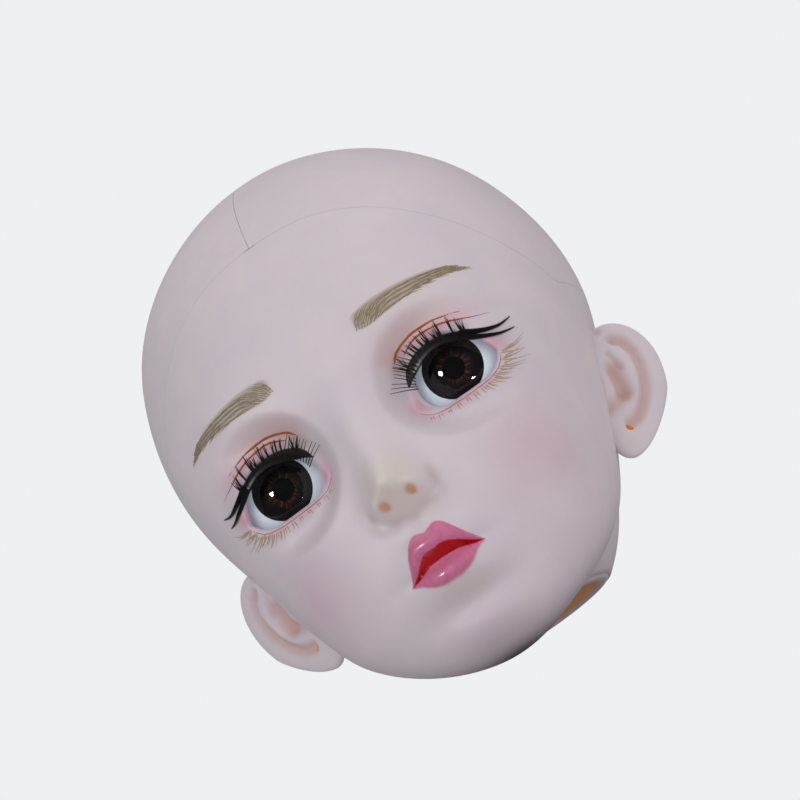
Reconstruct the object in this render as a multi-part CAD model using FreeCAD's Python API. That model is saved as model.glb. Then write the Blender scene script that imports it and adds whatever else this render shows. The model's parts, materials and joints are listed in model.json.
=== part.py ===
# A doll head for a ball-jointed doll of about 60 cm: a hollow face shell with ears and
# a neck rim, a crown cap in two bonded halves that lifts off, two acrylic eyes that turn
# in their putty beds, false lash strips, magnets and the neck seat.
# Frame: millimetres, +Z up, the face looks along -Y, the head's own left is +X.
# The origin is the centre of the neck rim.

import FreeCAD, Part
import math
import os

os.makedirs("parts", exist_ok=True)

V = FreeCAD.Vector
X_AXIS = V(1, 0, 0)
Y_AXIS = V(0, 1, 0)
Z_AXIS = V(0, 0, 1)

# Overall sizes of the head
half_width = 34.6
front_reach = 45.5
back_reach = 37.0
crown_height = 85.7
widest_height = 42.0
chin_drop = 5.6
skull_wall = 2.6
face_wall = 4.0
overrun = 5.0
skin_tolerance = 0.01

# Seam between the face shell and the crown cap, in side view
seam_gap = 0.2
seam_top = (-32.3, 67.8)
seam_bend = (-26.6, 54.8)
seam_corner = (-12.0, 40.0)

# Neck opening and the seat that the neck ball bears on
neck_rim_radius = 13.5
neck_bore_radius = 11.5
neck_ledge_height = 3.0
neck_flare_radius = 23.5
neck_flare_height = 14.0
seat_radius = 14.0
seat_thickness = 5.0
seat_clearance = 0.1
cup_depth = 3.2
hook_hole_radius = 4.0
hook_slot_width = 3.0
hook_slot_reach = 8.0

# Eyes: half balls of acrylic
eye_side_share = 0.451  # of the half width
eye_setback = 19.0  # behind the front of the skull
eye_drop = 8.2  # below the widest level
eye_side = half_width * eye_side_share
eye_front = front_reach - eye_setback
eye_height = widest_height - eye_drop
eye_radius = 9.0
eye_back_depth = 3.0
eye_recess_radius = 4.7
eye_recess_depth = 6.0
iris_radius = 4.6
iris_thickness = 0.6
pupil_radius = 1.5
pupil_thickness = 0.3
cornea_bulge = 0.55
socket_radius = 10.2
lid_radius = 11.4
well_wall = 2.4
well_backing = 4.2
backing_offset = 4.5
backing_spread = 9.0
putty_front = 4.0
putty_back = 2.6
putty_clearance = 0.1

# Eye opening, its half sizes measured from the eye's centre
opening_inner = 7.2
opening_outer = 6.6
opening_top = 5.0
opening_bottom = 4.8

# Lash strips
lash_band_width = 1.5
lash_band_clearance = 0.5
lash_band_proud = 0.3
lash_length = 2.6
lash_root_radius = 0.16
lash_tip_radius = 0.05
lash_hairs = 19
lash_sides = 6
lash_first_share = 0.16
lash_last_share = 0.86
lash_middle_share = 0.45
lash_aim = (-0.75, 0.85)

# Ears
ear_lobe_inset = 6.6
ear_lobe = (half_width - ear_lobe_inset, -6.4, 11.6)
ear_top = (half_width, 1.5, 33.2)
ear_lobe_lean = 2.2
ear_half_depth = 6.6
ear_half_thickness = 2.2
ear_shift = 1.5
ear_bowl = 1.6
ear_depth_aim = (0.80, 0.60, -0.12)
ear_flare_share = 0.22
ear_bowl_share = 0.62
earring_radius = 0.7
earring_rise = 4.8
earring_inset = -0.3

# Magnets that hold the cap
magnet_radius = 2.5
magnet_height = 2.0
magnet_clearance = 0.05
magnet_boss_radius = 4.2
magnet_boss_height = 4.0
magnet_turns = (98, 150, -150, -98)

# Shape of the skull at each level: turn in degrees below or above the widest level, then
# shares of the half width, front reach, back reach, centre offset, and the two powers of
# the rounded section, front and back
level_shares = (
    (-90, 0.84, 0.46, 0.60, -0.80, 2.1, 2.1),
    (-70, 0.92, 0.56, 0.90, -0.78, 2.1, 2.1),
    (-50, 0.97, 0.68, 1.48, -0.58, 2.1, 2.1),
    (-35, 0.94, 0.79, 1.31, -0.36, 2.2, 2.1),
    (-20, 0.94, 0.89, 1.12, -0.13, 2.3, 2.1),
    (0, 1.02, 1.00, 1.00, 0.12, 2.35, 2.1),
    (20, 1.06, 1.06, 0.96, 0.22, 2.35, 2.1),
    (40, 1.08, 1.10, 0.95, 0.25, 2.35, 2.1),
    (60, 1.05, 1.09, 0.95, 0.25, 2.25, 2.1),
    (90, 0.94, 1.07, 0.93, 0.25, 2.1, 2.1),
)

# Swellings and hollows of the face. The places and spreads are shares of the half width,
# heights measured down from the eyes' level, and the last number is the swelling's share
feature_shares = (
    # side, down, side spread, height spread, swelling
    (0.22, -0.04, 0.13, 0.23, -0.046),
    (0.00, 0.33, 0.100, 0.100, 0.150),
    (0.105, 0.385, 0.060, 0.060, 0.072),
    (0.00, 0.70, 0.245, 0.200, 0.064),
    (0.00, 0.61, 0.150, 0.058, 0.050),
    (0.00, 0.775, 0.127, 0.060, 0.044),
    (0.00, 0.694, 0.200, 0.026, -0.026),
    (0.00, 0.885, 0.188, 0.064, -0.043),
    (0.00, 1.005, 0.188, 0.104, 0.038),
    (0.52, 0.54, 0.260, 0.260, 0.038),
)
bridge_shares = (0.11, 0.104, 0.43, 0.28, -0.35)  # spread, swelling, start, full and end
lid_blend_shares = (0.53, 0.98)  # of the lid radius
face_blend_shares = (0.05, 0.55)
pole_blend_shares = (0.0, 0.30)
front_density_share = 0.45
head_join_share = 0.35625  # of the turn, where the head's skin meets itself, clear of cuts
ear_join_share = 0.546875  # the same for an ear, inside the skull
skin_column_count = 80
skin_row_count = 72
ear_column_count = 32
ear_row_count = 20


def blend(x, start, end):
    """Smooth rise from 0 at start to 1 at end."""
    s = min(1.0, max(0.0, (x - start) / (end - start)))
    return s * s * (3 - 2 * s)


def bump(distance, spread):
    return math.exp(-((distance / spread) ** 2))


def curve_value(a, b, c, d, s):
    """Smooth curve through b and c, with neighbours a and d."""
    turn = 2 * a - 5 * b + 4 * c - d
    rise = -a + 3 * b - 3 * c + d
    return 0.5 * (2 * b + (c - a) * s + turn * s * s + rise * s ** 3)


def level_at(turn):
    """Shares of the skull section at a turn in degrees."""
    last = len(level_shares) - 1
    i = 0
    while i < last - 1 and turn > level_shares[i + 1][0]:
        i += 1
    low = level_shares[i]
    high = level_shares[i + 1]
    before = level_shares[max(i - 1, 0)]
    after = level_shares[min(i + 2, last)]
    s = (turn - low[0]) / (high[0] - low[0])
    return [curve_value(before[k], low[k], high[k], after[k], s) for k in range(1, 7)]


def skull_point(around, turn, side_wall, front_wall):
    """Point of the smooth skull, drawn in by the walls' thickness."""
    width, front, back, centre, front_power, back_power = level_at(math.degrees(turn))
    rise = crown_height - widest_height if turn > 0 else widest_height + chin_drop
    z = widest_height + (rise - side_wall) * math.sin(turn)
    facing = math.cos(around) > 0
    half = half_width * width - side_wall
    reach = front_reach * front - front_wall if facing else back_reach * back - side_wall
    power = front_power if facing else back_power
    side = math.sin(around)
    ahead = math.cos(around)
    r = (abs(side / half) ** power + abs(ahead / reach) ** power) ** (-1 / power)
    level = math.cos(turn)
    return V(r * side * level, half_width * centre - r * ahead * level, z)


def face_swelling(x, z):
    """How far the features stand out from the smooth skull."""
    side = abs(x) / half_width
    down = (eye_height - z) / half_width
    spread, swelling, start, full, end = bridge_shares
    nose_bridge = blend(-down, -start, -full) * (1 - blend(-down, -full, -end))
    total = swelling * nose_bridge * bump(side, spread)
    for place, level, side_spread, level_spread, height in feature_shares:
        total += height * bump(side - place, side_spread) * bump(down - level, level_spread)
    return total * half_width


def head_point(around, turn):
    """Point of the finished head: skull, features and eyelids."""
    p = skull_point(around, turn, 0, 0)
    facing = math.cos(around)
    if facing > 0:
        amount = blend(facing, *face_blend_shares) * blend(math.cos(turn), *pole_blend_shares)
        p.y -= amount * face_swelling(p.x, p.z)
        off_axis = math.hypot(abs(p.x) - eye_side, p.z - eye_height)
        if off_axis < lid_radius:
            lid = -eye_front - math.sqrt(lid_radius ** 2 - off_axis ** 2)
            near = 1 - blend(off_axis / lid_radius, *lid_blend_shares)
            p.y += near * (lid - p.y)
    return p


def cavity_point(around, turn):
    """Point of the inner wall, which stands back behind the eyes."""
    p = skull_point(around, turn, skull_wall, face_wall)
    if math.cos(around) > 0:
        beside = bump(abs(p.x) - eye_side + backing_offset, backing_spread)
        p.y += well_backing * beside * bump(p.z - eye_height, backing_spread)
    return p


def skin_poles(point, columns, rows, angles, density):
    """Net of points for a skin that follows point(around, turn)."""
    poles = []
    for j in range(rows):
        turn = math.pi * (j / (rows - 1) - 0.5)
        poles.append([point(angle - density * math.sin(angle), turn) for angle in angles])
    return poles


def closed_form(point, columns, rows, join, density=0):
    """Solid whose skin follows point(around, turn), closed at both poles."""
    angles = [2 * math.pi * (i / columns + join) for i in range(columns)]
    poles = skin_poles(point, columns, rows, angles, density)
    upward = [4] + [1] * (rows - 4) + [4]
    round_it = [1] * (columns + 1)
    surface = Part.BSplineSurface()
    surface.buildFromPolesMultsKnots(poles, upward, round_it, None, None, False, True, 3, 3)
    return Part.Solid(Part.Shell([surface.toShape()]))


def left_half_form(point, columns, rows, density=0):
    """Left half of the same form, closed by a flat face on the middle plane."""
    count = columns // 2 + 1
    angles = [2 * math.pi * i / columns for i in range(count)]
    poles = skin_poles(point, columns, rows, angles, density)
    upward = [4] + [1] * (rows - 4) + [4]
    round_it = [4] + [1] * (count - 4) + [4]
    surface = Part.BSplineSurface()
    surface.buildFromPolesMultsKnots(poles, upward, round_it, None, None, False, False, 3, 3)
    skin = surface.toShape()
    rim = [edge for edge in skin.Edges if edge.Length > skin_tolerance]
    flat = Part.Face(Part.Wire(Part.__sortEdges__(rim)))
    shell = Part.makeShell([skin, flat])
    shell.sewShape()
    return Part.Solid(Part.Shell(shell.Faces))


def cylinder(radius, height, base, axis=Z_AXIS):
    return Part.makeCylinder(radius, height, base, axis)


def block(low, high):
    return Part.makeBox(high[0] - low[0], high[1] - low[1], high[2] - low[2], V(*low))


def ball(radius, centre):
    """Sphere whose surface joins itself at the back."""
    sphere = Part.makeSphere(radius, centre)
    sphere.rotate(centre, Z_AXIS, 90)
    return sphere


def eye_centre(side):
    return V(side * eye_side, -eye_front, eye_height)


def save(name, shape):
    solids = shape.Solids
    if not shape.isValid() or not solids:
        raise ValueError(name + " is not a valid solid")
    print(name, len(solids), "solid(s)", round(shape.Volume, 1), "mm3")
    shape.exportStep("parts/" + name + ".step")


def neck_stub():
    """Flared stub between the skull's underside and the neck rim."""
    middle = (neck_rim_radius + neck_flare_radius) / 2 + neck_ledge_height / 2
    flare = Part.Arc(
        V(neck_rim_radius, 0, 0),
        V(middle, 0, neck_flare_height / 2),
        V(neck_flare_radius, 0, neck_flare_height),
    ).toShape()
    top = Part.makeLine(V(neck_flare_radius, 0, neck_flare_height), V(0, 0, neck_flare_height))
    core = Part.makeLine(V(0, 0, neck_flare_height), V(0, 0, 0))
    foot = Part.makeLine(V(0, 0, 0), V(neck_rim_radius, 0, 0))
    profile = Part.Face(Part.Wire([flare, top, core, foot]))
    return profile.revolve(V(0, 0, 0), Z_AXIS, 360)


def ear_frame():
    """Centre, long axis, depth axis and face normal of the left ear."""
    lobe = V(*ear_lobe)
    top = V(*ear_top)
    along = top - lobe
    half_length = along.Length / 2
    along.normalize()
    depth = V(*ear_depth_aim)
    depth = depth - along * depth.dot(along)
    depth.normalize()
    return (lobe + top) * 0.5, half_length, along, depth, depth.cross(along)


def ear_point(side):
    centre, half_length, along, depth, normal = ear_frame()

    def point(around, turn):
        up = math.sin(around)
        out = math.cos(around)
        level = math.cos(turn)
        half = ear_half_depth * (1 + ear_flare_share * up)
        lift = half_length * level * up
        reach = half * level * out + ear_shift + ear_lobe_lean * level * min(up, 0)
        thick = ear_half_thickness * math.sin(turn)
        if thick > 0:
            thick -= ear_bowl * bump(level, ear_bowl_share)
        p = centre + along * lift + depth * reach + normal * thick
        return V(side * p.x, p.y, p.z)

    return point


def earring_hole(side):
    """Hole through the ear lobe, square to the ear."""
    centre, half_length, along, depth, normal = ear_frame()
    place = V(*ear_lobe) + along * earring_rise + depth * earring_inset
    start = place - normal * overrun
    hole = cylinder(earring_radius, 2 * overrun, start, normal)
    return hole if side > 0 else hole.mirror(V(0, 0, 0), X_AXIS)


def ear(side):
    solid = closed_form(ear_point(side), ear_column_count, ear_row_count, ear_join_share)
    return solid.cut(earring_hole(side))


def eyelid_outline(side, drop=0):
    """Closed outline of the eye opening in the plane of the eye's centre."""
    upper_shares = (
        (-1, -0.33), (-0.80, 0.50), (-0.45, 0.86), (0.02, 1.0), (0.50, 0.76), (0.90, 0.12), (1, -0.33),
    )
    lower_shares = (
        (1, -0.33), (0.72, -0.84), (0.28, -1.0), (-0.30, -0.96), (-0.79, -0.75), (-1, -0.33),
    )
    wires = []
    for shares in (upper_shares, lower_shares):
        points = []
        for across, up in shares:
            half = opening_outer if across > 0 else opening_inner
            height = opening_top if up > 0 else opening_bottom
            x = side * (eye_side + across * half)
            points.append(V(x, -eye_front, eye_height + up * height - drop))
        curve = Part.BSplineCurve()
        curve.interpolate(points)
        wires.append(curve.toShape())
    return Part.Wire(wires)


def eyelid_prism(side, drop=0):
    """The eye opening as a prism that runs out through the face."""
    start = lid_radius / 2
    prism = Part.Face(eyelid_outline(side, drop)).extrude(V(0, -lid_radius - overrun, 0))
    prism.translate(V(0, -start, 0))
    return prism


def cap_region(gap):
    """Everything above and behind the seam, moved back and up by half the gap."""
    shift = gap / 2
    top, bend, corner = [V(0, y + shift, z + shift) for y, z in (seam_top, seam_bend, seam_corner)]
    ceiling = crown_height + overrun
    behind = half_width + back_reach + overrun
    points = (
        corner,
        V(0, behind, corner.z),
        V(0, behind, ceiling),
        V(0, top.y, ceiling),
        top,
    )
    edges = [Part.makeLine(a, b) for a, b in zip(points, points[1:])]
    edges.append(Part.Arc(top, bend, corner).toShape())
    side = Part.Face(Part.Wire(edges))
    wide = half_width + ear_half_depth + overrun
    side.translate(V(-wide, 0, 0))
    return side.extrude(V(2 * wide, 0, 0))


def magnet_places(turns):
    """Centres of the magnets on the level part of the seam."""
    turn = math.asin((seam_corner[1] - widest_height) / (widest_height + chin_drop - skull_wall))
    places = []
    for degrees in turns:
        p = cavity_point(math.radians(degrees), turn)
        middle = V(0, half_width * level_at(math.degrees(turn))[3], p.z)
        inward = middle - p
        inward.normalize()
        places.append(V(p.x, p.y, seam_corner[1]) + inward * (magnet_boss_radius - skull_wall / 2))
    return places


def magnet_bosses(turns):
    bosses = []
    for place in magnet_places(turns):
        base = place - Z_AXIS * magnet_boss_height
        bosses.append(cylinder(magnet_boss_radius, 2 * magnet_boss_height, base))
    return bosses


def magnet_pockets(turns):
    pockets = []
    depth = magnet_height + magnet_clearance + seam_gap / 2
    for place in magnet_places(turns):
        base = place - Z_AXIS * depth
        pockets.append(cylinder(magnet_radius + magnet_clearance, 2 * depth, base))
    return pockets


def eye_well(side):
    """Thick ring of wall round the eye's socket, on the inside of the face."""
    centre = eye_centre(side)
    well = ball(socket_radius + well_wall, centre)
    wide = socket_radius + well_wall + overrun
    front = block(
        (centre.x - wide, centre.y - wide, centre.z - wide),
        (centre.x + wide, centre.y + putty_back, centre.z + wide),
    )
    return well.common(front)


def eye_hole(side):
    """The eye's socket with its opening through the face."""
    return ball(socket_radius, eye_centre(side)).fuse(eyelid_prism(side))


def hollow_head():
    """The whole head before the cap's place is cut from it."""
    layout = (skin_column_count, skin_row_count, head_join_share, front_density_share)
    head = closed_form(head_point, *layout)
    cavity = closed_form(cavity_point, *layout)
    head = head.fuse([neck_stub(), ear(1), ear(-1)])
    cavity = cavity.cut([eye_well(1), eye_well(-1)] + magnet_bosses(magnet_turns))
    bore = cylinder(neck_bore_radius, neck_ledge_height + 2 * overrun, V(0, 0, -overrun))
    pocket = cylinder(seat_radius, neck_flare_height + overrun, V(0, 0, neck_ledge_height))
    cutters = [eye_hole(1), eye_hole(-1), cavity, bore, pocket] + magnet_pockets(magnet_turns)
    for cutter in cutters:
        head = head.cut(cutter)
    return head


def cap_left_half():
    """Left half of the crown cap, with its magnet bosses."""
    left_turns = [degrees for degrees in magnet_turns if degrees > 0]
    outer = left_half_form(head_point, skin_column_count, skin_row_count, front_density_share)
    cavity = left_half_form(cavity_point, skin_column_count, skin_row_count, front_density_share)
    cavity = cavity.cut(magnet_bosses(left_turns))
    half = outer.common(cap_region(seam_gap)).cut(cavity)
    return half.cut(magnet_pockets(left_turns))


def neck_seat():
    """Cup for the neck ball, with the keyhole that the cord's hook turns in."""
    radius = seat_radius - seat_clearance
    seat = cylinder(radius, seat_thickness, V(0, 0, neck_ledge_height))
    cup_radius = (neck_bore_radius ** 2 + cup_depth ** 2) / (2 * cup_depth)
    cup = ball(cup_radius, V(0, 0, neck_ledge_height + cup_depth - cup_radius))
    hole = cylinder(hook_hole_radius, seat_thickness + 2 * overrun, V(0, 0, neck_ledge_height - overrun))
    half_slot = hook_slot_width / 2
    slot = block(
        (-half_slot, 0, neck_ledge_height - overrun),
        (half_slot, hook_slot_reach, neck_ledge_height + seat_thickness + overrun),
    )
    return seat.cut([cup, hole, slot])


def on_ball(radius, ahead):
    """Point of a ball's outline at a distance ahead of its centre."""
    return V(math.sqrt(radius ** 2 - ahead ** 2), -ahead, 0)


def turned(edges, side):
    """Solid turned about the axis that the eye looks along."""
    profile = Part.Face(Part.Wire(edges))
    solid = profile.revolve(V(0, 0, 0), Y_AXIS, 360)
    solid.translate(eye_centre(side))
    return solid


def eye_white(side):
    """Half ball with a flat recess for the iris."""
    rim = math.sqrt(eye_radius ** 2 - eye_recess_radius ** 2)
    back = on_ball(eye_radius, -eye_back_depth)
    front = on_ball(eye_radius, rim)
    floor = V(eye_recess_radius, -eye_recess_depth, 0)
    points = (front, floor, V(0, floor.y, 0), V(0, back.y, 0), back)
    edges = [Part.makeLine(a, b) for a, b in zip(points, points[1:])]
    edges.append(Part.Arc(back, on_ball(eye_radius, 0), front).toShape())
    return turned(edges, side)


def iris_disc(side):
    back = eye_centre(side) - Y_AXIS * eye_recess_depth
    seat_start = back - Y_AXIS * (iris_thickness - pupil_thickness)
    disc = cylinder(iris_radius, iris_thickness, back, -Y_AXIS)
    return disc.cut(cylinder(pupil_radius, pupil_thickness, seat_start, -Y_AXIS))


def pupil_dot(side):
    back = eye_centre(side) - Y_AXIS * (eye_recess_depth + iris_thickness - pupil_thickness)
    return cylinder(pupil_radius, pupil_thickness, back, -Y_AXIS)


def cornea(side):
    """Clear dome over the iris, standing a little proud of the eye ball."""
    rim = math.sqrt(eye_radius ** 2 - iris_radius ** 2)
    rise = eye_radius + cornea_bulge - rim
    radius = (iris_radius ** 2 + rise ** 2) / (2 * rise)
    behind = V(0, radius - eye_radius - cornea_bulge, 0)
    apex = V(0, -eye_radius - cornea_bulge, 0)
    bend = behind + on_ball(radius, radius - rise / 4)
    edge = V(iris_radius, -rim, 0)
    floor = V(iris_radius, -eye_recess_depth - iris_thickness, 0)
    points = (edge, floor, V(0, floor.y, 0), apex)
    edges = [Part.makeLine(a, b) for a, b in zip(points, points[1:])]
    edges.append(Part.Arc(apex, bend, edge).toShape())
    return turned(edges, side)


def putty_ring(side):
    """Ring of eye putty between the eye and its socket."""
    outer = socket_radius - putty_clearance
    inner = eye_radius + putty_clearance
    arcs = []
    for radius in (outer, inner):
        ends = (on_ball(radius, putty_front), on_ball(radius, -putty_back))
        arcs.append((ends, Part.Arc(ends[0], on_ball(radius, 0), ends[1]).toShape()))
    edges = [arc for ends, arc in arcs]
    edges += [Part.makeLine(arcs[0][0][k], arcs[1][0][k]) for k in (0, 1)]
    return turned(Part.__sortEdges__(edges), side)


def lash_band(side):
    """Strip along the upper edge of the eye opening."""
    centre = eye_centre(side)
    shell = ball(lid_radius + lash_band_proud, centre)
    shell = shell.cut(ball(eye_radius + cornea_bulge + lash_band_clearance, centre))
    strip = eyelid_prism(side).cut(eyelid_prism(side, lash_band_width))
    return strip.common(shell)


def lash_hair(root, aim):
    """One tapered hair with six flat sides."""
    across = aim.cross(Y_AXIS)
    across.normalize()
    beside = aim.cross(across)
    rings = []
    for radius, place in ((lash_root_radius, root), (lash_tip_radius, root + aim * lash_length)):
        turns = [2 * math.pi * i / lash_sides for i in range(lash_sides + 1)]
        points = [place + (across * math.cos(t) + beside * math.sin(t)) * radius for t in turns]
        rings.append(Part.makePolygon(points))
    return Part.makeLoft(rings, True, True)


def lash_hair_group(side, band):
    """Tapered hairs that stand on the band, fanned outwards and up."""
    centre = eye_centre(side)
    reach = lid_radius + lash_band_proud
    upper = eyelid_outline(side).Edges[0]
    hairs = []
    for i in range(lash_hairs):
        share = lash_first_share + (lash_last_share - lash_first_share) * i / (lash_hairs - 1)
        low, high = upper.ParameterRange
        place = upper.valueAt(low + (high - low) * share)
        place.z -= lash_band_width / 2
        flat = place - centre
        depth = math.sqrt(reach ** 2 - flat.x ** 2 - flat.z ** 2)
        root = V(place.x, centre.y - depth, place.z)
        fan = side * (share - lash_middle_share)
        aim = V(fan, *lash_aim)
        aim.normalize()
        hairs.append(lash_hair(root, aim).cut(band))
    return Part.makeCompound(hairs)


def magnets(sign):
    """The discs on one side of the seam: -1 in the shell, 1 in the cap."""
    discs = []
    for place in magnet_places(magnet_turns):
        start = place + Z_AXIS * (sign * seam_gap / 2)
        discs.append(cylinder(magnet_radius, magnet_height, start, Z_AXIS * sign))
    return Part.makeCompound(discs)


head = hollow_head()
save("face_shell", head.cut(cap_region(-seam_gap)))
left_half = cap_left_half()
save("cap_left_half", left_half)
save("cap_right_half", left_half.mirror(V(0, 0, 0), X_AXIS))
save("neck_seat", neck_seat())
save("shell_magnets", magnets(-1))
save("cap_magnets", magnets(1))
for side, word in ((1, "left"), (-1, "right")):
    save(word + "_eye_putty", putty_ring(side))
    save(word + "_eye_white", eye_white(side))
    save(word + "_iris_disc", iris_disc(side))
    save(word + "_pupil_dot", pupil_dot(side))
    save(word + "_cornea", cornea(side))
    band = lash_band(side)
    save(word + "_lash_band", band)
    save(word + "_lash_hairs", lash_hair_group(side, band))
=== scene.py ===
# A doll head for a ball-jointed doll of about 60 cm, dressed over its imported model: resin
# skin with painted brows, lids, lashes and lips, false lash strips and acrylic eyes.
# Sizes in the settings are millimetres and are turned to metres where vertices are placed.

import json
import math
import random

import bmesh
import bpy
from mathutils import Matrix, Vector

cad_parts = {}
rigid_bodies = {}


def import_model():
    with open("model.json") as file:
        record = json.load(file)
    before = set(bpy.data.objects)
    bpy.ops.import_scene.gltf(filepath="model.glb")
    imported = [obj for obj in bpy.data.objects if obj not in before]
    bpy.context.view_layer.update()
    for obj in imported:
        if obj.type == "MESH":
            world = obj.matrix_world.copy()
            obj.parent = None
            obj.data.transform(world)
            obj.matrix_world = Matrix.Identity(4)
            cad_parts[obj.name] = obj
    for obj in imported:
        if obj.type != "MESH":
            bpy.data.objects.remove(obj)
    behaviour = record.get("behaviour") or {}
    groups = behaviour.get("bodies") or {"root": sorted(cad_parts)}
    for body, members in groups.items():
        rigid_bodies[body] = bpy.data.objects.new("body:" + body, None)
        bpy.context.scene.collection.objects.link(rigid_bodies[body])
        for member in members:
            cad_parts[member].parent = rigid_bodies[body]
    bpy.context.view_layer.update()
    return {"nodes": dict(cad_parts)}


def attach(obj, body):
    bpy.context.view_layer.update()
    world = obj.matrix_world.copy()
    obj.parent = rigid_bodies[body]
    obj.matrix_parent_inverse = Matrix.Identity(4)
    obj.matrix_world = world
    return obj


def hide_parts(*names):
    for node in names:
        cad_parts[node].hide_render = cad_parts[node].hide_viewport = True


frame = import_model()
mm = 0.001

# Sizes of the skull, as in the solids
skull = dict(
    halfWidth=34.6, frontReach=45.5, backReach=37.0, crownHeight=85.7, widestHeight=42.0,
    chinDrop=5.6, sideWall=2.6, frontWall=4.0,
)

# Turn of the level in degrees, then shares: half width, front reach, back reach, centre
# offset, power of the rounded section in front and at the back
levelShares = (
    (-90, 0.84, 0.46, 0.60, -0.80, 2.1, 2.1),
    (-70, 0.92, 0.56, 0.90, -0.78, 2.1, 2.1),
    (-50, 0.97, 0.68, 1.48, -0.58, 2.1, 2.1),
    (-35, 0.94, 0.79, 1.31, -0.36, 2.2, 2.1),
    (-20, 0.94, 0.89, 1.12, -0.13, 2.3, 2.1),
    (0, 1.02, 1.00, 1.00, 0.12, 2.35, 2.1),
    (20, 1.06, 1.06, 0.96, 0.22, 2.35, 2.1),
    (40, 1.08, 1.10, 0.95, 0.25, 2.35, 2.1),
    (60, 1.05, 1.09, 0.95, 0.25, 2.25, 2.1),
    (90, 0.94, 1.07, 0.93, 0.25, 2.1, 2.1),
)

# Swellings of the face as shares of the half width: side, down from the eyes' level, side
# spread, height spread, swelling
featureShares = (
    (0.22, -0.04, 0.13, 0.23, -0.046),
    (0.00, 0.33, 0.100, 0.100, 0.150),
    (0.105, 0.385, 0.060, 0.060, 0.072),
    (0.00, 0.70, 0.245, 0.200, 0.064),
    (0.00, 0.61, 0.150, 0.058, 0.050),
    (0.00, 0.775, 0.127, 0.060, 0.044),
    (0.00, 0.694, 0.200, 0.026, -0.026),
    (0.00, 0.885, 0.188, 0.064, -0.043),
    (0.00, 1.005, 0.188, 0.104, 0.038),
    (0.52, 0.54, 0.260, 0.260, 0.038),
)
bridgeShares = (0.11, 0.104, 0.43, 0.28, -0.35)  # spread, swelling, start, full and end

eye = dict(
    side=15.6, front=26.5, height=33.8, radius=9.0, lidRadius=11.4, socketRadius=10.2,
    recessDepth=6.0, recessRadius=4.7, irisRadius=4.6, irisThickness=0.6, pupilRadius=1.5,
    pupilThickness=0.3, corneaBulge=0.55, inner=7.2, outer=6.6, top=5.0, bottom=4.8,
    wellWall=2.4, wellBack=2.6, wellBacking=4.2, backingOffset=4.5, backingSpread=9.0,
    wellMargin=1.2, wellFront=-20, openingReach=9.5, openingFront=-30,
)
lidBlendShares = (0.53, 0.98)  # of the lid's radius
faceBlendShares = (0.05, 0.55)
poleBlendShares = (0.0, 0.30)

# Outline of the eye opening as shares of its half sizes, from the inner corner round
upperLidShares = (
    (-1.04, -0.40), (-0.83, 0.46), (-0.55, 0.80), (-0.28, 0.95), (0.02, 1.0),
    (0.28, 0.93), (0.52, 0.74), (0.76, 0.46), (0.96, 0.04), (1.07, -0.42),
)
lowerLidShares = (
    (1.07, -0.42), (0.90, -0.76), (0.62, -0.95), (0.30, -1.01), (-0.06, -1.02),
    (-0.50, -0.97), (-0.83, -0.86), (-1.01, -0.64), (-1.04, -0.40),
)

# Seam of the cap in side view: a curve through three points, then a level run backwards
seam = dict(
    top=(-32.3, 67.8), bend=(-26.6, 54.8), corner=(-12.0, 40.0), gap=0.06, midGap=0.05,
    ringShares=(0.04, 0.5, 1.02),
)

# Bosses that hold the magnets on both sides of the level seam, with their turns round the head
magnet = dict(radius=2.5, height=2.0, bossRadius=4.2, bossHeight=4.0, turns=(98, 150, -150, -98))

neck = dict(
    rimRadius=13.5, boreRadius=11.5, ledge=3.0, flareRadius=23.5, flareHeight=14.0,
    pocketRadius=14.0, openBelow=20.0,
)

# Mouth: heights of its edges at distances from the middle, all in millimetres
mouth = dict(
    halfWidth=6.5,
    upperEdge=(
        (0, 14.4), (1.0, 14.8), (1.8, 15.0), (2.8, 14.5), (3.85, 13.1), (4.8, 11.5), (5.7, 10.1),
        (6.5, 9.05),
    ),
    partTop=((0, 11.65), (1.8, 11.7), (3.1, 11.1), (4.9, 9.95), (6.5, 9.05)),
    partLow=((0, 10.15), (1.6, 10.05), (2.9, 9.9), (4.9, 9.3), (6.5, 9.0)),
    lowerEdge=((0, 6.4), (1.6, 6.55), (3.1, 7.05), (4.0, 7.6), (4.9, 8.3), (6.5, 8.95)),
    lipSwelling=0.6, partDepth=0.6, bottom=6.0, height=10.0,
)

mouthEdges = ("upperEdge", "partTop", "partLow", "lowerEdge")

# Small features of the face in millimetres: side, height, side spread, height spread, depth
fineFeatures = (
    (2.3, 20.2, 0.65, 0.55, -1.3),
    (0.0, 22.4, 2.3, 1.9, 0.65),
    (3.5, 20.9, 1.25, 1.5, 0.85),
    (0.0, 16.6, 0.90, 1.20, -0.30),
    (1.7, 16.2, 0.70, 1.40, 0.16),
)

# Rounded foot of the nose: half width, height of its middle, half height
noseRing = dict(
    side=5.0, height=21.0, rise=3.1, groove=1.05, grooveAt=1.06, grooveSpread=0.17, swelling=0.45,
    roundFrom=0.45, fadeUp=(21.0, 24.5), fadeSide=(2.6, 4.6),
)
lidCrease = dict(depth=0.14, spread=0.35)

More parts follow.
